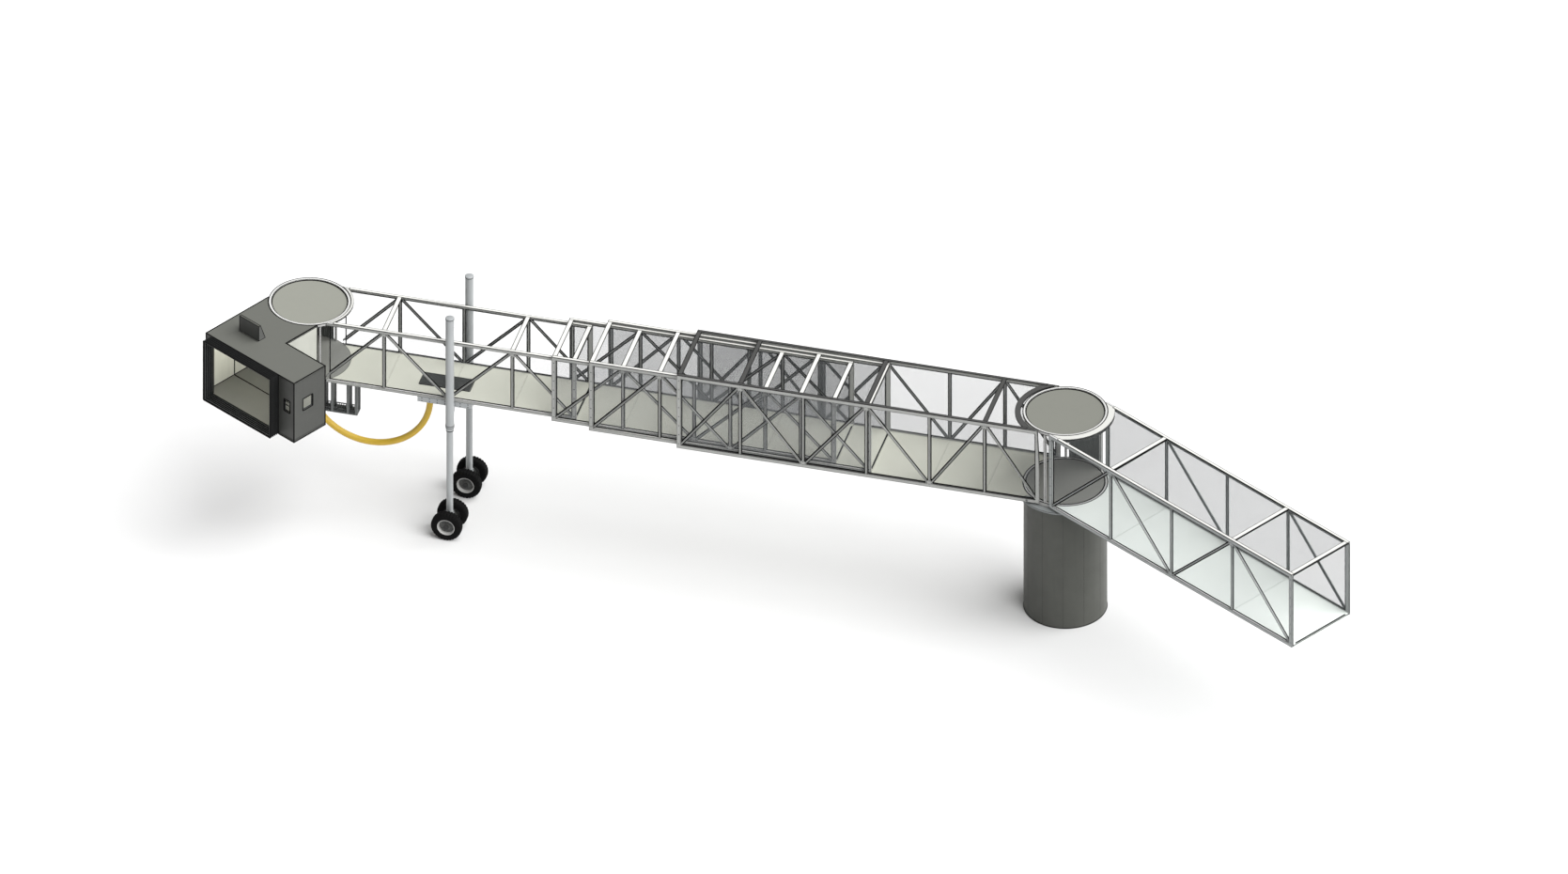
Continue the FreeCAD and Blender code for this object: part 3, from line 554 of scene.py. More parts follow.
for section in sections:
    # each tunnel is a step smaller, above, below and at the sides, than the one that it slides in
    fixed, drop = section["name"] == "walkway", lattice["step"] * section["level"]
    section.update(
        body="station" if fixed else section["name"], place=inWalkway if fixed else inTunnel,
        frame=section["name"] + "_frame", deck="walkway_deck" if fixed else "tunnel_deck",
        low=lattice["bottom"] + drop + section["chord"], high=lattice["top"] - drop - section["chord"],
        half=lattice["half"] - drop, top=lattice["top"] - drop,
        floor=lattice["bottom"] + drop + lattice["chordWidth"])


def zigzag(section):
    # diagonals: low at even joints, high at odd ones, ending inside the end posts
    chord, along = section["chord"] / 2, section["joints"].copy()
    inward = np.sign(along[-1] - along[0]) * lattice["post"] / 2
    along[0] += inward
    along[-1] -= inward
    even = np.arange(len(along)) % 2 == 0
    return np.stack([along, np.where(even, section["low"] - chord, section["high"] + chord)], -1)


def gasketLines(section):
    # ends of the strips on both sides of every bar, cut off at the chords and end posts
    low, high, width = section["low"], section["high"], gasket["width"] / 2
    left = max(section["joints"].min() + lattice["post"], section["reach"][0])
    right = min(section["joints"].max() - lattice["post"], section["reach"][1])
    inner, aside = section["joints"][1:-1], lattice["vertical"] / 2 + width
    beside = np.concatenate([inner - aside, inner + aside, [left + width, right - width]])
    level = np.array([low + width, high - width])
    knots = zigzag(section)
    run = knots[1:] - knots[:-1]
    aside = np.stack([-run[:, 1], run[:, 0]], -1) / np.linalg.norm(run, axis=1)[:, None]
    aside = aside * (lattice["diagonal"] / 2 + width)
    starts = np.concatenate([np.stack([beside, np.full(len(beside), low)], -1),
                             np.stack([np.full(2, left), level], -1), knots[:-1] + aside, knots[:-1] - aside])
    ends = np.concatenate([np.stack([beside, np.full(len(beside), high)], -1),
                           np.stack([np.full(2, right), level], -1), knots[1:] + aside, knots[1:] - aside])
    run = ends - starts
    run = np.where(np.abs(run) < 1e-9, 1e-9, run)
    enter, leave = ((left, low) - starts) / run, ((right, high) - starts) / run
    first = np.minimum(enter, leave).max(1).clip(0, 1)[:, None]
    last = np.maximum(enter, leave).min(1).clip(0, 1)[:, None]
    return starts + first * run, starts + last * run


def onSide(flat, side):
    # (along, height) on a vertical plane at a distance from the middle line
    return at(flat[..., 0], side, flat[..., 1])


def pairs(first, second):
    # every first value with every second one
    return np.stack(np.meshgrid(first, second), -1).reshape(-1, 2)


def dressSection(section):
    # gaskets round the panes, bolted gusset plates at the joints and bolts down the end posts
    low, high, half, reach = section["low"], section["high"], section["half"], section["reach"]
    starts, ends = gasketLines(section)
    strips, webs, heads = [], [], []
    knots = section["joints"][1:-1]
    odd = np.arange(1, len(knots) + 1) % 2 == 1
    edge, way = np.where(odd, high, low), np.where(odd, -1.0, 1.0)
    wide, deep, lap = gusset["width"] / 2, gusset["depth"], gusset["lap"]
    shoulder, rise, neck = wide * gusset["shoulder"][0], gusset["shoulder"][1], wide * gusset["neck"]
    shape = np.array([(-wide, -lap), (wide, -lap), (shoulder, rise), (neck, deep), (-neck, deep),
                      (-shoulder, rise)])
    hole, level = wide * gusset["holeSide"], gusset["holeRise"]
    holes = np.array([(-hole, level), (0.0, deep * gusset["topHole"]), (hole, level),
                      (0.0, -lap * gusset["footHole"])])
    outline = shape[None] * np.stack([np.ones_like(way), way], -1)[:, None]
    spread = np.stack([knots[:, None] + holes[None, :, 0],
                       edge[:, None] + way[:, None] * holes[None, :, 1]], -1)
    inset = lattice["post"] / 2
    posts = [p for p in (section["joints"].min() + inset, section["joints"].max() - inset)
             if reach[0] < p < reach[1]]
    for sign in (-1, 1):
        out = (0.0, float(sign), 0.0)
        glassFace = sign * (half - lattice["chordWidth"] + lattice["glass"])
        strips.append(bars(onSide(starts, glassFace), onSide(ends, glassFace), out,
                           halfRound(gasket["width"], gasket["height"])))
        plateFace, thick = sign * (half - lattice["barInset"]), sign * gusset["thickness"]
        webs.append(plates(at(knots, plateFace, edge), outline, (0, thick, 0)))
        heads.append(bolts(onSide(spread.reshape(-1, 2), plateFace + thick), out, *gusset["bolt"]))
        if posts:
            spots = pairs(posts, np.arange(low + postBolts["foot"], high, postBolts["pitch"]))
            heads.append(bolts(onSide(spots, sign * half), out, *postBolts["size"]))
    name, body, place = section["name"], section["body"], section["place"]
    putSeal(name + "Gaskets", strips, place, body)
    putFinished(name + "Gussets", webs, place, body, section["frame"])
    putZinc(name + "Bolts", heads, place, body)


decking = {"seamWidth": 0.045, "seamHeight": 0.003, "nosingWidth": 0.055, "nosingHeight": 0.006,
           "margin": 0.20, "nosingInset": 0.03}


def dressFloor(section):
    # cover strips over the floor's joints and a rubber nosing at each end
    name, body, place = section["name"], section["body"], section["place"]
    side, level, inset = section["half"] - decking["margin"], section["floor"], decking["nosingInset"]
    joint = section["joints"][1:-1]
    seams = bars(at(joint, -side, level), at(joint, side, level), upward,
                 block(decking["seamWidth"], decking["seamHeight"]))
    putFinished(name + "FloorSeams", [seams], place, body, section["deck"])
    lips = [p for p in (section["joints"].min() + inset, section["joints"].max() - inset)
            if section["reach"][0] < p < section["reach"][1]]
    nosing = bars(at(lips, -side, level), at(lips, side, level), upward,
                  block(decking["nosingWidth"], decking["nosingHeight"]))
    putSeal(name + "Nosing", [nosing], place, body)


mouth = {"length": 0.05, "thickness": 0.006, "roofThickness": 0.016, "inset": 0.06}


def dressMouth(section):
    # wiper strips inside the portal that the next section slides through
    end = section["joints"].max() - mouth["inset"]
    inner, roof = section["half"] - lattice["chordWidth"], section["top"] - mouth["inset"]
    wipers = [bars((end, sign * inner, section["low"]), (end, sign * inner, section["high"]), (0, -sign, 0),
                   block(mouth["length"], mouth["thickness"])) for sign in (-1, 1)]
    wipers.append(bars((end, -inner, roof), (end, inner, roof), -upward,
                       block(mouth["length"], mouth["roofThickness"])))
    putSeal(section["name"] + "Wipers", wipers, section["place"], section["body"])


roofCover = {"chord": 0.080, "beam": 0.125, "seal": 0.022, "thickness": 0.004}


def dressRoof(section):
    # cover strips on the roof chords and beams, each on a wider black seal that shows at both sides
    name, body, place = section["name"], section["body"], section["place"]
    top, seal, thick = section["top"], roofCover["seal"], roofCover["thickness"]
    inset = roofCover["chord"] / 2 + seal
    side = np.array([-1.0, 1.0]) * (section["half"] - inset)
    first, last = at(section["cover"][0], side, top), at(section["cover"][1], side, top)
    left = at(section["beams"], 2 * inset - section["half"], top)
    right = left * (1, -1, 1)
    seals = [bars(first, last, upward, block(2 * inset, thick)),
             bars(left, right, upward, block(roofCover["beam"] + 2 * seal, thick))]
    rise, trim = upward * thick, np.array([seal, 0, 0])
    covers = [bars(first + rise + trim, last + rise - trim, upward, block(roofCover["chord"], thick)),
              bars(left + rise, right + rise, upward, block(roofCover["beam"], thick))]
    putSeal(name + "RoofSeals", seals, place, body)
    putPiece(name + "RoofCovers", covers, place, darkCover if name == "tunnel_a" else lightCover, body)


for section in sections:
    dressSection(section)
    dressFloor(section)
    dressRoof(section)
for section in sections[1:4]:
    dressMouth(section)
print("lattice sides", len(sections))

# Walkway roof glazing and the buffer at the terminal
roofGlazing = {"bead": 0.026, "height": 0.010, "beams": (3.395, 9.025), "beamHalf": 0.045, "start": 1.66,
               "endInset": 0.09}
buffer = {"bead": 0.014, "inset": 0.04, "footInset": 0.045, "corner": 0.03}


def dressWalkwayRoof():
    # beads round each pane, between the beams
    width, high = roofGlazing["bead"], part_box("walkway_roof_glass")[1]
    side, level, half = high[1] - width / 2, high[2], roofGlazing["beamHalf"]
    ends = [edge for beam in roofGlazing["beams"] for edge in (beam - half, beam + half)]
    cuts = np.array([roofGlazing["start"], *ends, high[0] - roofGlazing["endInset"]]).reshape(-1, 2)
    profile = halfRound(width, roofGlazing["height"])
    beads = [bars(at(cuts[:, 0], y, level), at(cuts[:, 1], y, level), upward, profile) for y in (-side, side)]
    # the crossing beads lie half a bead inside each pane's ends; the first end is under the ring
    across = cuts.reshape(-1)[1:] + np.tile([-width / 2, width / 2], len(cuts))[:-1]
    beads.append(bars(at(across, -side, level), at(across, side, level), upward, profile))
    putSeal("walkwayRoofBeads", beads, inWalkway, "station")


def dressTerminalEnd():
    # a rubber buffer round the open end, where the walkway meets the building
    side = lattice["half"] - buffer["inset"]
    low, high = lattice["bottom"] + buffer["footInset"], lattice["top"] - buffer["inset"]
    loop = roundedLoop((-side, low), (side, high), buffer["corner"])
    ring = loopSweep(loop, roundBead(buffer["bead"]), (sections[0]["reach"][1], 0, 0))
    putSeal("terminalBuffer", [ring], inWalkway, "station", smooth=True)


dressWalkwayRoof()
dressTerminalEnd()
print("walkway")

# Rotunda and pedestal
rotunda = {"discRadius": 1.31, "ringOuter": 1.40, "sealLevels": (4.937, 7.728),
           "dripLevels": (4.936, 7.66, 7.758), "slatStart": 79.0, "slatStop": 130.0, "slatMiddle": 1.355,
           "slatAngle": 6.4, "low": 4.935, "high": 7.66}
curtain = {"depth": 0.014, "wall": 0.012, "pointsPerSlat": 12, "crest": 0.6, "hinge": 0.009}
discSeal = {"bead": 0.022, "drip": 0.017, "flatten": 0.6, "sink": 0.7, "steps": 96}


def slatCurtain(name, sizes, place, body, stands):
    # curved shutter: radius = middle + depth * |sin|^crest of the slat phase, so that each slat is a
    # rounded lath with a sharp groove beside it; the inner skin follows it a wall's thickness in
    low, high = math.radians(sizes["slatStart"]), math.radians(sizes["slatStop"])
    count = round((sizes["slatStop"] - sizes["slatStart"]) / sizes["slatAngle"])
    angle = np.linspace(low, high, count * curtain["pointsPerSlat"] + 1)
    phase = np.abs(np.sin((angle - low) / (high - low) * count * math.pi)) ** curtain["crest"]
    outer = sizes["slatMiddle"] + curtain["depth"] * phase
    inner = outer - curtain["wall"]
    radius = np.stack([outer, outer, inner, inner], -1)
    height = np.array([sizes["low"], sizes["high"], sizes["high"], sizes["low"]])
    points = at(radius * np.cos(angle)[:, None], radius * np.sin(angle)[:, None], height)
    faces = [gridFaces(len(angle), 4, False, True), endFaces(len(angle), 4)]
    grooves = low + np.arange(1, count) / count * (high - low)
    out = at(np.cos(grooves), np.sin(grooves), 0)
    line = sizes["slatMiddle"] * out
    foot, head = line + upward * sizes["low"], line + upward * sizes["high"]
    putFinished(name, [(points, faces)], place, body, "slats", stands, smooth=True)
    putSeal(name + "Hinges", [bars(foot, head, out, roundBead(curtain["hinge"]))], place, body, smooth=True)


def discSeals(name, place, body, radius, levels, bead):
    # flattened beads just inside a round edge, one at each level
    outline = roundBead(bead) * (1, discSeal["flatten"]) + (radius - bead * discSeal["sink"], 0)
    rings = [spun(outline, (0, 0, level), discSeal["steps"]) for level in levels]
    putSeal(name, rings, place, body, smooth=True)


slatCurtain("rotundaCurtain", rotunda, inWalkway, "station", ["slat_wall"])
discSeals("rotundaSeals", inWalkway, "station", rotunda["discRadius"], rotunda["sealLevels"],
          discSeal["bead"])
discSeals("rotundaDripEdges", inWalkway, "station", rotunda["ringOuter"], rotunda["dripLevels"],
          discSeal["drip"])

pedestal = {"radius": 1.37, "weld": 0.010, "weldFoot": 0.03, "seams": 12, "firstSeam": 0.2, "foot": 0.02,
            "footInset": 0.006, "footRise": 0.012, "top": 4.71, "trackBolts": 36, "trackBoltRadius": 1.50,
            "trackBolt": (0.02, 0.016)}


def dressPedestal():
    # welds between the rolled plates, a sealed foot and the bolts of the slewing track
    radius, top = pedestal["radius"], upward * pedestal["top"]
    out = at(*circle(pedestal["seams"], pedestal["firstSeam"]).T, 0)
    welds = bars(out * radius + upward * pedestal["weldFoot"], out * radius + top, out,
                 halfRound(pedestal["weld"], pedestal["weld"] * 0.3))
    putFinished("pedestalWelds", [welds], inWalkway, "station", "pedestal_paint")
    outline = roundBead(pedestal["foot"]) + (radius - pedestal["footInset"], pedestal["footRise"])
    foot = spun(outline, (0, 0, 0), discSeal["steps"])
    putSeal("pedestalFootSeal", [foot], inWalkway, "station", smooth=True)
    spots = at(*circle(pedestal["trackBolts"]).T, 0) * pedestal["trackBoltRadius"]
    putZinc("trackBolts", [bolts(spots + top, -upward, *pedestal["trackBolt"])], inWalkway, "station")


dressPedestal()
print("rotunda and pedestal")

# Lift columns and wheels
column = {"place": 20.54, "side": 1.235, "foot": 4.10, "top": 8.58, "headTop": 0.82, "collar": 4.26,
          "capSeal": 0.04, "collarSeal": 0.035, "headBolts": 8, "headBoltRadius": 0.131,
          "headBolt": (0.011, 0.012), "steps": 48}
# outlines as (radius, height)
columnCap = [(0.001, 0.020), (0.09, 0.017), (0.128, 0.008), (0.146, 0.0), (0.146, -0.030),
             (0.001, -0.030)]
columnCollar = [(0.138, -0.03), (0.147, -0.026), (0.147, 0.026), (0.138, 0.03)]
columnWiper = [(0.1115, -0.035), (0.128, -0.02), (0.128, 0.001), (0.1115, 0.001)]
capBead, collarBead = roundBead(0.009) + (0.142, 0), roundBead(0.007) + (0.144, 0)


def dressColumn(name, sign):
    # a domed lid, a collar between two seals, a wiper round the lift tube, and the head's bolts
    centre = inTunnel([column["place"], sign * column["side"], 0.0])

    def ring(outline, level):
        return spun(outline, centre + upward * level, column["steps"])

    collar, gap = column["collar"], column["collarSeal"]
    putFinished(name + "ColumnCap", [ring(columnCap, column["top"]), ring(columnCollar, collar)], inWalkway,
                "tunnel_d", "column_paint", smooth=True)
    seals = [ring(capBead, column["top"] - column["capSeal"]), ring(collarBead, collar - gap),
             ring(collarBead, collar + gap), ring(columnWiper, column["foot"])]
    putSeal(name + "ColumnSeals", seals, inWalkway, "tunnel_d", smooth=True)
    spots = at(*circle(column["headBolts"]).T, 0) * column["headBoltRadius"] + centre
    heads = bolts(spots + upward * column["headTop"], upward, *column["headBolt"])
    putZinc(name + "HeadBolts", [heads], inWalkway, name + "_leg")


wheel = {"radius": 0.52, "spacing": 0.385, "lugs": 30, "pointsPerLug": 12, "chevron": 14.0, "groove": 0.024,
         "treadStart": 0.44, "treadFade": 0.06, "lugSlope": 3, "lugWidth": 1.2, "rib": 0.02, "ribDepth": 0.5,
         "nuts": 10, "nutRadius": 0.170, "nutFace": 0.032,
         "nut": (0.012, 0.016), "rimSteps": 72, "hubSteps": 48}
# half of the tyre as (distance from the middle, radius), and the rim and hub as (radius, distance)
tyreHalf = np.array([(0.012, 0.520), (0.040, 0.520), (0.080, 0.517), (0.120, 0.505), (0.136, 0.478),
                     (0.146, 0.430), (0.150, 0.380), (0.149, 0.330), (0.140, 0.300), (0.120, 0.288),
                     (0.100, 0.285)])
rimOutline = np.array([(0.244, 0.0), (0.244, 0.016), (0.254, 0.030), (0.266, 0.126), (0.276, 0.136),
                       (0.290, 0.138), (0.298, 0.134), (0.298, 0.0)])
hubOutline = np.array([(0.062, 0.0), (0.250, 0.0), (0.250, 0.018), (0.210, 0.034), (0.130, 0.034),
                       (0.118, 0.072), (0.104, 0.080), (0.062, 0.086)])


def wheelParts(name, side):
    # tyre: bead, bulged wall, shoulder and crown outline spun about the axle; the crown is cut by
    # grooves where the wave sin(lugs * angle + chevron * distance) is low, and by one in the middle
    centre = inTunnel([column["place"], side, wheel["radius"]])
    axis = inTunnel([0.0, 1.0, 0.0])
    first = np.cross(axis, upward)
    across, out = np.concatenate([tyreHalf[::-1] * (-1, 1), tyreHalf]).T
    steps = wheel["lugs"] * wheel["pointsPerLug"]
    angle = np.arange(steps)[:, None] * 2 * math.pi / steps
    wave = np.sin(wheel["lugs"] * angle + wheel["chevron"] * np.abs(across)[None])
    crown = np.clip((out - wheel["treadStart"]) / wheel["treadFade"], 0, 1)[None]
    tread = crown * (np.clip(wave * wheel["lugSlope"] + wheel["lugWidth"], -1, 1) - 1) / 2
    rib = np.where(np.abs(across) < wheel["rib"], -wheel["ribDepth"], 0.0)[None]
    deep = out[None] + wheel["groove"] * np.minimum(tread, rib)
    spoke = np.cos(angle)[..., None] * first + np.sin(angle)[..., None] * upward
    points = centre + deep[..., None] * spoke + across[None, :, None] * axis
    skin = [gridFaces(steps, len(across), True, True)]
    putFinished(name + "Tyre", [(points, skin)], inWalkway, name, "tyre_rubber", [name], smooth=True)
    # the dish away from the leg is enamelled, the one beside the leg is black
    away = math.copysign(1.0, side) * (1.0 if abs(side) > column["side"] else -1.0)
    for label, way, material, slot in (("Rim", away, rimEnamel, "white_ring"),
                                       ("BackRim", -away, finishes["head_paint"], "head_paint")):
        dish = spun(rimOutline * (1, way), centre, wheel["rimSteps"], axis)
        putPiece(name + label, [dish], inWalkway, material, name, smooth=True)
    ring = circle(wheel["nuts"]) * wheel["nutRadius"]
    spots = centre + ring[:, :1] * first + ring[:, 1:] * upward
    hubs = [spun(hubOutline * (1, way), centre, wheel["hubSteps"], axis) for way in (-1, 1)]
    heads = [bolts(spots + axis * way * wheel["nutFace"], axis * way, *wheel["nut"]) for way in (-1, 1)]
    putPiece(name + "Hub", hubs, inWalkway, hubPaint, name, smooth=True)
    putZinc(name + "Nuts", heads, inWalkway, name)


for name, sign in (("near", 1), ("far", -1)):
    dressColumn(name, sign)
    wheelParts(name + "_outer_wheel", sign * (column["side"] + wheel["spacing"]))
    wheelParts(name + "_inner_wheel", sign * (column["side"] - wheel["spacing"]))
print("columns and wheels")

# Saddle, hatch and hanging basket under the last tunnel
saddle = {"start": 19.85, "end": 21.68, "low": 4.93, "high": 5.13, "half": 1.08, "pitch": 0.26, "inset": 0.05,
          "firstBolt": 0.12, "bolt": (0.014, 0.010)}
bracket = {"low": 4.82, "high": 5.10, "pitch": 0.09, "side": 1.10, "face": 0.125, "bolt": (0.011, 0.009)}
hatch = {"start": 20.08, "end": 21.77, "side": 0.16, "half": 0.33, "level": 5.217, "curb": 5.207,
         "overlap": 0.02, "curbBead": 0.012, "corner": 0.03, "eyeInset": 0.25, "eyeSide": 0.22, "eye": 0.045,
         "eyeWire": 0.008, "hinge": 0.013, "hingeHalf": 0.07}
basket = {"start": 23.95, "end": 25.13, "half": 0.21, "low": 3.33, "firstBar": 0.04, "pitch": 0.075,
          "barGap": 0.005, "barLevel": 0.045, "bar": (0.018, 0.05), "rail": 0.02, "railLevel": 0.14,
          "railInset": 0.045, "railEnd": 0.02}


def dressSaddle():
    # rows of bolts down the saddle's sides and on the faces of the column brackets
    along = np.arange(saddle["start"] + saddle["firstBolt"], saddle["end"], saddle["pitch"])
    grid = pairs(along, (saddle["low"] + saddle["inset"], saddle["high"] - saddle["inset"]))
    heads = [bolts(onSide(grid, sign * saddle["half"]), (0, sign, 0), *saddle["bolt"]) for sign in (-1, 1)]
    lift = np.arange(bracket["low"], bracket["high"], bracket["pitch"])
    for sign in (-1, 1):
        for way in (-1, 1):
            spots = at(column["place"] + way * bracket["face"], sign * bracket["side"], lift)
            heads.append(bolts(spots, (way, 0, 0), *bracket["bolt"]))
    putZinc("saddleBolts", heads, inTunnel, "tunnel_d")


def dressHatch():
    # rubber round the lid, with lifting eyes and hinges of round bar standing just clear of it
    side, half, lap, level = hatch["side"], hatch["half"], hatch["overlap"], hatch["level"]
    loop = roundedLoop((hatch["start"] - lap, side - half - lap), (hatch["end"] + lap, side + half + lap),
                       hatch["corner"])
    curb = loopSweep(loop, roundBead(hatch["curbBead"]), (0, 0, hatch["curb"]), "xy")
    putSeal("hatchSeal", [curb], inTunnel, "tunnel_d", smooth=True)
    fittings = []
    for along in (hatch["start"] + hatch["eyeInset"], hatch["end"] - hatch["eyeInset"]):
        fittings.append(spun(roundBead(hatch["eyeWire"]) + (hatch["eye"], 0),
                             (along, side + hatch["eyeSide"], level + hatch["eyeWire"]), 24))
        first, last = [(along + way * hatch["hingeHalf"], side - half, level) for way in (-1, 1)]
        fittings.append(bars(first, last, upward, roundBead(hatch["hinge"])))
    putZinc("hatchFittings", fittings, inTunnel, "tunnel_d", smooth=True)


def dressBasket():
    # flat bars on edge across the tray, and a round rail along each side
    low, half = basket["low"], basket["half"]
    along = np.arange(basket["start"] + basket["firstBar"], basket["end"], basket["pitch"])
    starts = at(along, basket["barGap"] - half, low + basket["barLevel"])
    slatBars = bars(starts, starts * (1, -1, 1), upward, block(*basket["bar"]))
    side, level = np.array([-1, 1]) * (half - basket["railInset"]), low + basket["railLevel"]
    rails = bars(at(basket["start"] + basket["railEnd"], side, level),
                 at(basket["end"] - basket["railEnd"], side, level), upward, roundBead(basket["rail"]))
    putFinished("basketGrating", [slatBars, rails], inTunnel, "tunnel_d", "basket_steel")


dressSaddle()
dressHatch()
dressBasket()
print("saddle, hatch and basket")

# Yellow service hose, a smooth half circle with short straight ends
hose = {"radius": 0.110, "rib": 0.003, "pitch": 0.075, "start": 25.62, "end": 21.54, "startTop": 5.049,
        "endTop": 4.93, "springing": 4.27, "clampRise": 0.16, "steps": 640, "sides": 36, "clampSteps": 40}
clampOutline = [(0.108, -0.03), (0.118, -0.028), (0.118, 0.028), (0.108, 0.03)]


def makeHose():
    # path = straight down, half circle, straight up, at even steps of length; the skin is a circle
    # round the path whose radius rises by a rib that winds once a pitch: cos(2 pi (s / pitch + a / 2 pi))
    bend, middle = (hose["start"] - hose["end"]) / 2, (hose["start"] + hose["end"]) / 2
    down, over = hose["startTop"] - hose["springing"], math.pi * bend
    rise = hose["endTop"] - hose["springing"]
    s = np.linspace(0, down + over + rise, hose["steps"])
    swing = np.clip((s - down) / bend, 0, math.pi)
    fall = down - np.clip(s, 0, down)
    x = middle + bend * np.cos(swing)
    z = hose["springing"] - bend * np.sin(swing) + fall + np.clip(s - down - over, 0, rise)
    heading = at(-np.sin(swing), 0, -np.cos(swing))
    aside = np.array([0.0, 1.0, 0.0])
    inward = np.cross(heading, aside)
    around = np.arange(hose["sides"]) * 2 * math.pi / hose["sides"]
    rib = hose["rib"] * np.cos(2 * math.pi * s[:, None] / hose["pitch"] + around[None])
    radius = (hose["radius"] - hose["rib"] + rib)[..., None]
    spoke = np.cos(around)[None, :, None] * aside + np.sin(around)[None, :, None] * inward[:, None]
    points = at(x, 0, z)[:, None] + radius * spoke
    skin = [gridFaces(len(s), hose["sides"], False, True), endFaces(len(s), hose["sides"])]
    putFinished("yellowHose", [(points, skin)], inTunnel, "tunnel_d", "yellow_hose", ["service_hose"],
                smooth=True)
    clamps = [spun(clampOutline, (hose[end], 0, hose[top] - hose["clampRise"]), hose["clampSteps"])
              for end, top in (("start", "startTop"), ("end", "endTop"))]
    putZinc("hoseClamps", clamps, inTunnel, "tunnel_d", smooth=True)


makeHose()
print("hose")

# Round vestibule before the cab
vestibule = {"discRadius": 1.26, "ringOuter": 1.36, "sealLevels": (7.438,), "dripLevels": (7.372, 7.468),
             "slatStart": 98.0, "slatStop": 202.0, "slatMiddle": 1.31, "slatAngle": 8.0, "low": 5.205,
             "high": 7.37}
slatCurtain("vestibuleCurtain", vestibule, atPivot, "tunnel_d", ["cab_round_wall"])
discSeals("vestibuleSeals", atPivot, "tunnel_d", vestibule["discRadius"], vestibule["sealLevels"],
          discSeal["bead"])
discSeals("vestibuleDripEdges", atPivot, "tunnel_d", vestibule["ringOuter"], vestibule["dripLevels"],
          discSeal["drip"])

# Cab: x forwards, y to the right-hand block, round the cab's pivot
cabin = {"low": 5.115, "floor": 5.205, "roof": 7.47, "roofUnder": 7.41, "side": 1.13, "blockBack": 2.23,
         "front": 3.67, "right": 2.94, "wall": 0.06, "turnRadius": 1.37, "bead": 0.021, "overrun": 0.7,
         "roundGap": 0.01}
lining = {"thickness": 0.004, "floorGap": 0.03, "roofGap": 0.01, "cornerGap": 0.01, "roundGap": 0.03,
          "edgeGap": 0.014, "coving": 0.012, "covingRoundGap": 0.05, "covingCornerGap": 0.02, "sill": 2.42,
          "sillWidth": 0.05, "sillHeight": 0.009}
bellows = {"left": -0.89, "right": 2.24, "low": 5.105, "high": 7.495, "start": 3.672, "depth": 0.395,
           "folds": 5, "pointsPerFold": 12, "fold": 0.066, "skin": 0.010, "corner": 0.03, "cornerSteps": 7,
           "crest": 0.7, "hoop": 0.011}
lamps = {"left": -0.70, "right": 2.30, "places": (2.75, 3.25), "width": 0.14, "depth": 0.03, "strength": 18.0}
windows = {"front": (2.48, 2.76), "side": (2.80, 3.26), "low": 6.18, "high": 6.65, "bead": 0.018,
           "corner": 0.03, "proud": 0.002}


def clearOfRound(side, gap):
    # where a wall at this side may start, a gap clear of the vestibule that the cab turns round
    return math.sqrt(cabin["turnRadius"] ** 2 - side ** 2) + gap


def cabEdges():
    # black corner mouldings along every outer edge of the passage and the block
    side, back, front, right = cabin["side"], cabin["blockBack"], cabin["front"], cabin["right"]
    begin, bead = clearOfRound(side, cabin["roundGap"]), cabin["bead"]
    plan = np.array([(begin, side), (back, side), (back, right), (front, right), (front, -side),
                     (begin, -side)])
    foot, head = [at(plan[:, 0], plan[:, 1], cabin[level]) for level in ("low", "roof")]
    beads = []
    for ring in (foot, head):
        run = ring[1:] - ring[:-1]
        run = run / np.linalg.norm(run, axis=1)[:, None] * bead * cabin["overrun"]
        beads.append(bars(ring[:-1] - run, ring[1:] + run, upward, roundBead(bead)))
    beads.append(bars(foot, head, (1, 0, 0), roundBead(bead)))
    putSeal("cabEdgeMouldings", beads, inCab, "cab", smooth=True)


def cabWindows():
    # rubber glazing beads, outside and inside the wall, round both panes
    rims = []
    for pane, face, plane, spot in (("front", "front", "yz", (1, 0, 0)), ("side", "right", "xz", (0, 1, 0))):
        loop = roundedLoop((windows[pane][0], windows["low"]), (windows[pane][1], windows["high"]),
                           windows["corner"])
        rims += [loopSweep(loop, roundBead(windows["bead"]), np.multiply(spot, level), plane)
                 for level in (cabin[face] + windows["proud"], cabin[face] - cabin["wall"])]
    putSeal("cabWindowBeads", rims, inCab, "cab", smooth=True)


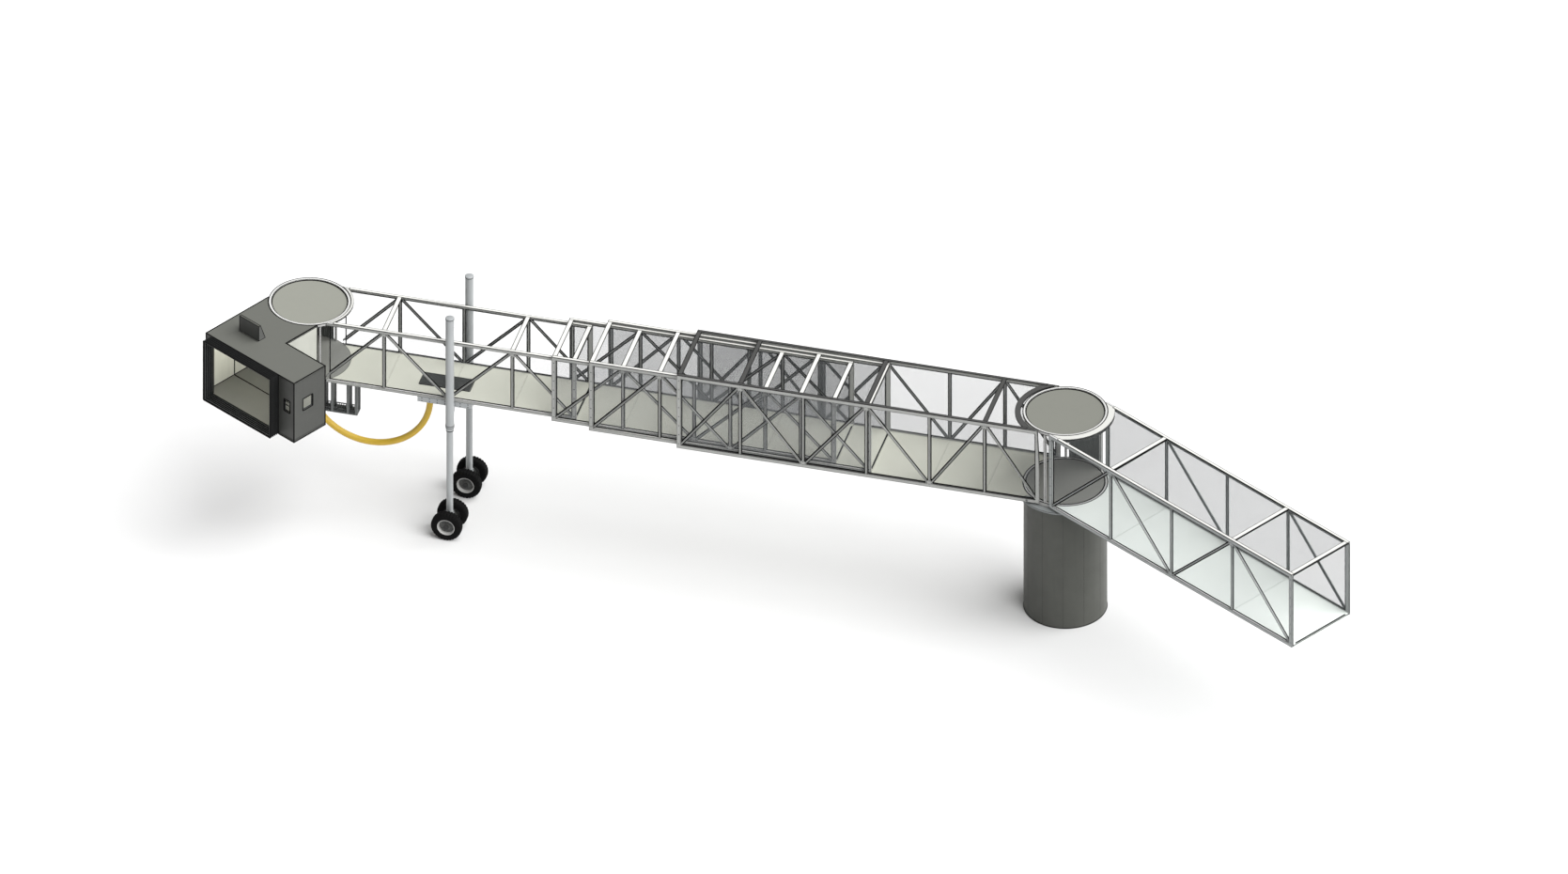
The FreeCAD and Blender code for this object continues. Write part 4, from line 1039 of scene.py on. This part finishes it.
def cabLining():
    # cream sheets inside the walls and over the passage's outside, coving along their feet
    wall, thin, back, side = cabin["wall"], lining["thickness"], cabin["blockBack"], cabin["side"]
    low, high = cabin["floor"] + lining["floorGap"], cabin["roofUnder"] - lining["roofGap"]
    begin, inside, gap = clearOfRound(side, lining["roundGap"]), side - wall, lining["cornerGap"]

    def sheet(first, last, facing):
        # panel on a wall between two plan points, with broken corners, its face towards facing
        middle = (low + high) / 2
        return bars((*first, middle), (*last, middle), (*facing, 0), block(high - low, thin))

    inner = [sheet((begin, -inside), (cabin["front"] - wall - gap, -inside), (0, 1)),
             sheet((begin, inside), (back, inside), (0, -1)),
             sheet((back + wall, inside), (back + wall, cabin["right"] - wall - gap), (1, 0))]
    putPiece("cabLining", inner, inCab, creamLining, "cab")
    outer = [sheet((begin, side), (back - lining["edgeGap"], side), (0, 1)),
             sheet((begin, -side), (back, -side), (0, -1))]
    putPiece("passageCladding", outer, inCab, creamCladding, "cab")
    foot, bead = cabin["floor"] + lining["coving"], roundBead(lining["coving"])
    start, gap = clearOfRound(inside, lining["covingRoundGap"]), lining["covingCornerGap"]
    left, frontEnd, rightEnd = thin - inside, cabin["front"] - wall - gap, cabin["right"] - wall - gap
    corners = [bars((start, left, foot), (frontEnd, left, foot), upward, bead),
               bars((back + wall + thin, inside, foot), (back + wall + thin, rightEnd, foot), upward, bead),
               bars((back, inside, foot), (back, inside, high), (1, 0, 0), bead)]
    # threshold across the floor where the passage opens into the cab, carried up the wall
    sill, base = lining["sill"], cabin["floor"]
    lip = halfRound(lining["sillWidth"], lining["sillHeight"])
    corners += [bars((sill, left, base), (sill, rightEnd, base), upward, lip),
                bars((sill, left, base), (sill, left, high), (0, 1, 0), lip)]
    putSeal("cabCoving", corners, inCab, "cab", smooth=True)


def cabLamps():
    # two opal strip lamps under the roof, domed diffusers in a thin tray
    material, tree, where = startMaterial("opalDiffuser")
    clouds = addNode(tree, "TexNoise", {"Vector": where, "Scale": 6.0})
    glow = addNode(tree, "Mix", {0: (clouds, 0), 6: colour("#FFFDF6"), 7: colour("#F4F1E6")})
    endMaterial(tree, {"Base Color": (glow, 2), "Roughness": 0.4, "Emission Color": (glow, 2),
                       "Emission Strength": lamps["strength"]})
    places, level = np.array(lamps["places"]), cabin["roofUnder"]
    strips = [bars(at(places, lamps["left"], level), at(places, lamps["right"], level), -upward,
                   halfRound(lamps["width"], lamps["depth"]))]
    putPiece("cabLamps", strips, inCab, material, "cab", smooth=True)


def makeBellows():
    # soft closure: the outline runs out along the outer folds and back along the inner ones,
    # depth of fold = fold * (1 - |cos(folds * pi * t)|^crest) with t from 0 at the wall to 1 at the
    # mouth, and it is carried round a rounded rectangle
    start, depth, folds, skin = bellows["start"], bellows["depth"], bellows["folds"], bellows["skin"]
    t = np.linspace(0, 1, folds * bellows["pointsPerFold"] + 1)
    wave = bellows["fold"] * (1 - np.abs(np.cos(folds * math.pi * t)) ** bellows["crest"])
    outer = np.column_stack([-wave, t * depth])
    inner = np.column_stack([-wave - skin, t * depth])[::-1]
    loop = roundedLoop((bellows["left"], bellows["low"]), (bellows["right"], bellows["high"]),
                       bellows["corner"], bellows["cornerSteps"])
    pleats = loopSweep(loop, np.concatenate([outer, inner]), (start, 0, 0))
    putFinished("cabBellows", [pleats], inCab, "cab", "bellows_fabric", ["cab_bellows"], smooth=True)
    bumper = np.array([(0.0, -0.024), (0.0, -0.006), (-0.006, 0.0), (-0.028, 0.0), (-0.034, -0.006),
                       (-0.034, -0.024)]) + (0, start + depth)
    backing = np.array([(-0.002, 0.0), (-0.002, 0.020), (-0.068, 0.020), (-0.068, 0.0)]) + (0, start)
    putSeal("bellowsBumper", [loopSweep(loop, bumper), loopSweep(loop, backing)], inCab, "cab")
    # spring-steel hoops sewn into the crests, outside at whole folds and inside at half folds
    pitch = depth / folds
    outside = [(-bellows["hoop"], start + k * pitch) for k in range(1, folds)]
    inside = [(-bellows["fold"] - skin, start + (k + 0.5) * pitch) for k in range(folds)]
    hoops = [loopSweep(loop, roundBead(bellows["hoop"]) + spot) for spot in outside + inside]
    putPiece("bellowsHoops", hoops, inCab, hoopSteel, "cab", smooth=True)


hood = {"left": -0.47, "right": 0.42, "front": 2.78, "base": 0.30, "top": 0.08, "height": 0.58, "bead": 0.010,
        "footWidth": 0.06, "footHeight": 0.006, "footBolts": 4, "boltInset": 0.08, "bolt": (0.010, 0.008)}


def dressHood():
    # black mouldings along the edges of the hood, and a bolted foot
    roof, crest, front = cabin["roof"], cabin["roof"] + hood["height"], hood["front"]
    outline = np.array([(front, roof), (front - hood["base"], roof), (front - hood["top"], crest),
                        (front, crest)])
    bead = roundBead(hood["bead"])
    left, right = [onSide(outline, hood[side]) for side in ("left", "right")]
    beads = [bars(ring, np.roll(ring, -1, 0), (0, 1, 0), bead) for ring in (left, right)]
    beads.append(bars(left, right, (0.6, 0, 0.8), bead))
    putSeal("hoodMouldings", beads, inCab, "cab", smooth=True)
    along, rise = front + hood["footWidth"] / 2, hood["footHeight"]
    inset = hood["boltInset"]
    places = np.linspace(hood["left"] + inset, hood["right"] - inset, hood["footBolts"])
    strip = bars((along, hood["left"], roof), (along, hood["right"], roof), upward,
                 block(hood["footWidth"], rise))
    heads = bolts(at(along, places, roof + rise), upward, *hood["bolt"])
    putFinished("hoodFoot", [strip, heads], inCab, "cab", "hood_paint")


cabEdges()
cabWindows()
cabLining()
cabLamps()
makeBellows()
dressHood()
print("cab")

# Floor and light
studio = {"floorSize": 160.0, "floorCells": 8, "floorCentre": (-6, -4), "floorLevel": -0.002,
          "floor": "#D2D2D2", "sun": 7.4, "sunSoftness": 80.0, "sunFrom": (0.62, 0.28, 0.73), "sky": 0.32,
          "clearBounces": 32}


def makeStudio():
    scene, steps = bpy.context.scene, studio["floorCells"] + 1
    line = np.linspace(-studio["floorSize"] / 2, studio["floorSize"] / 2, steps)
    x, y = np.meshgrid(line + studio["floorCentre"][0], line + studio["floorCentre"][1])
    mesh = bpy.data.meshes.new("apron")
    mesh.from_pydata(at(x, y, studio["floorLevel"]).reshape(-1, 3).tolist(), [],
                     gridFaces(steps, steps)[:, ::-1].tolist())
    mesh.materials.append(castConcrete("apronConcrete", studio["floor"]))
    apron = bpy.data.objects.new("apron", mesh)
    scene.collection.objects.link(apron)
    data = bpy.data.lights.new("softSun", "SUN")
    data.energy = studio["sun"]
    data.angle = math.radians(studio["sunSoftness"])
    sun = bpy.data.objects.new("softSun", data)
    scene.collection.objects.link(sun)
    x, y, z = studio["sunFrom"]
    sun.rotation_euler = (math.acos(z / math.hypot(x, y, z)), 0, math.atan2(y, x) + math.pi / 2)
    scene.world = bpy.data.worlds.new("studio")
    scene.world.use_nodes = True
    background = scene.world.node_tree.nodes["Background"]
    background.inputs["Color"].default_value = (1, 1, 1, 1)
    background.inputs["Strength"].default_value = studio["sky"]
    scene.view_settings.view_transform = "Standard"
    scene.cycles.transparent_max_bounces = studio["clearBounces"]  # many panes stand one behind the other


makeStudio()
print("studio")
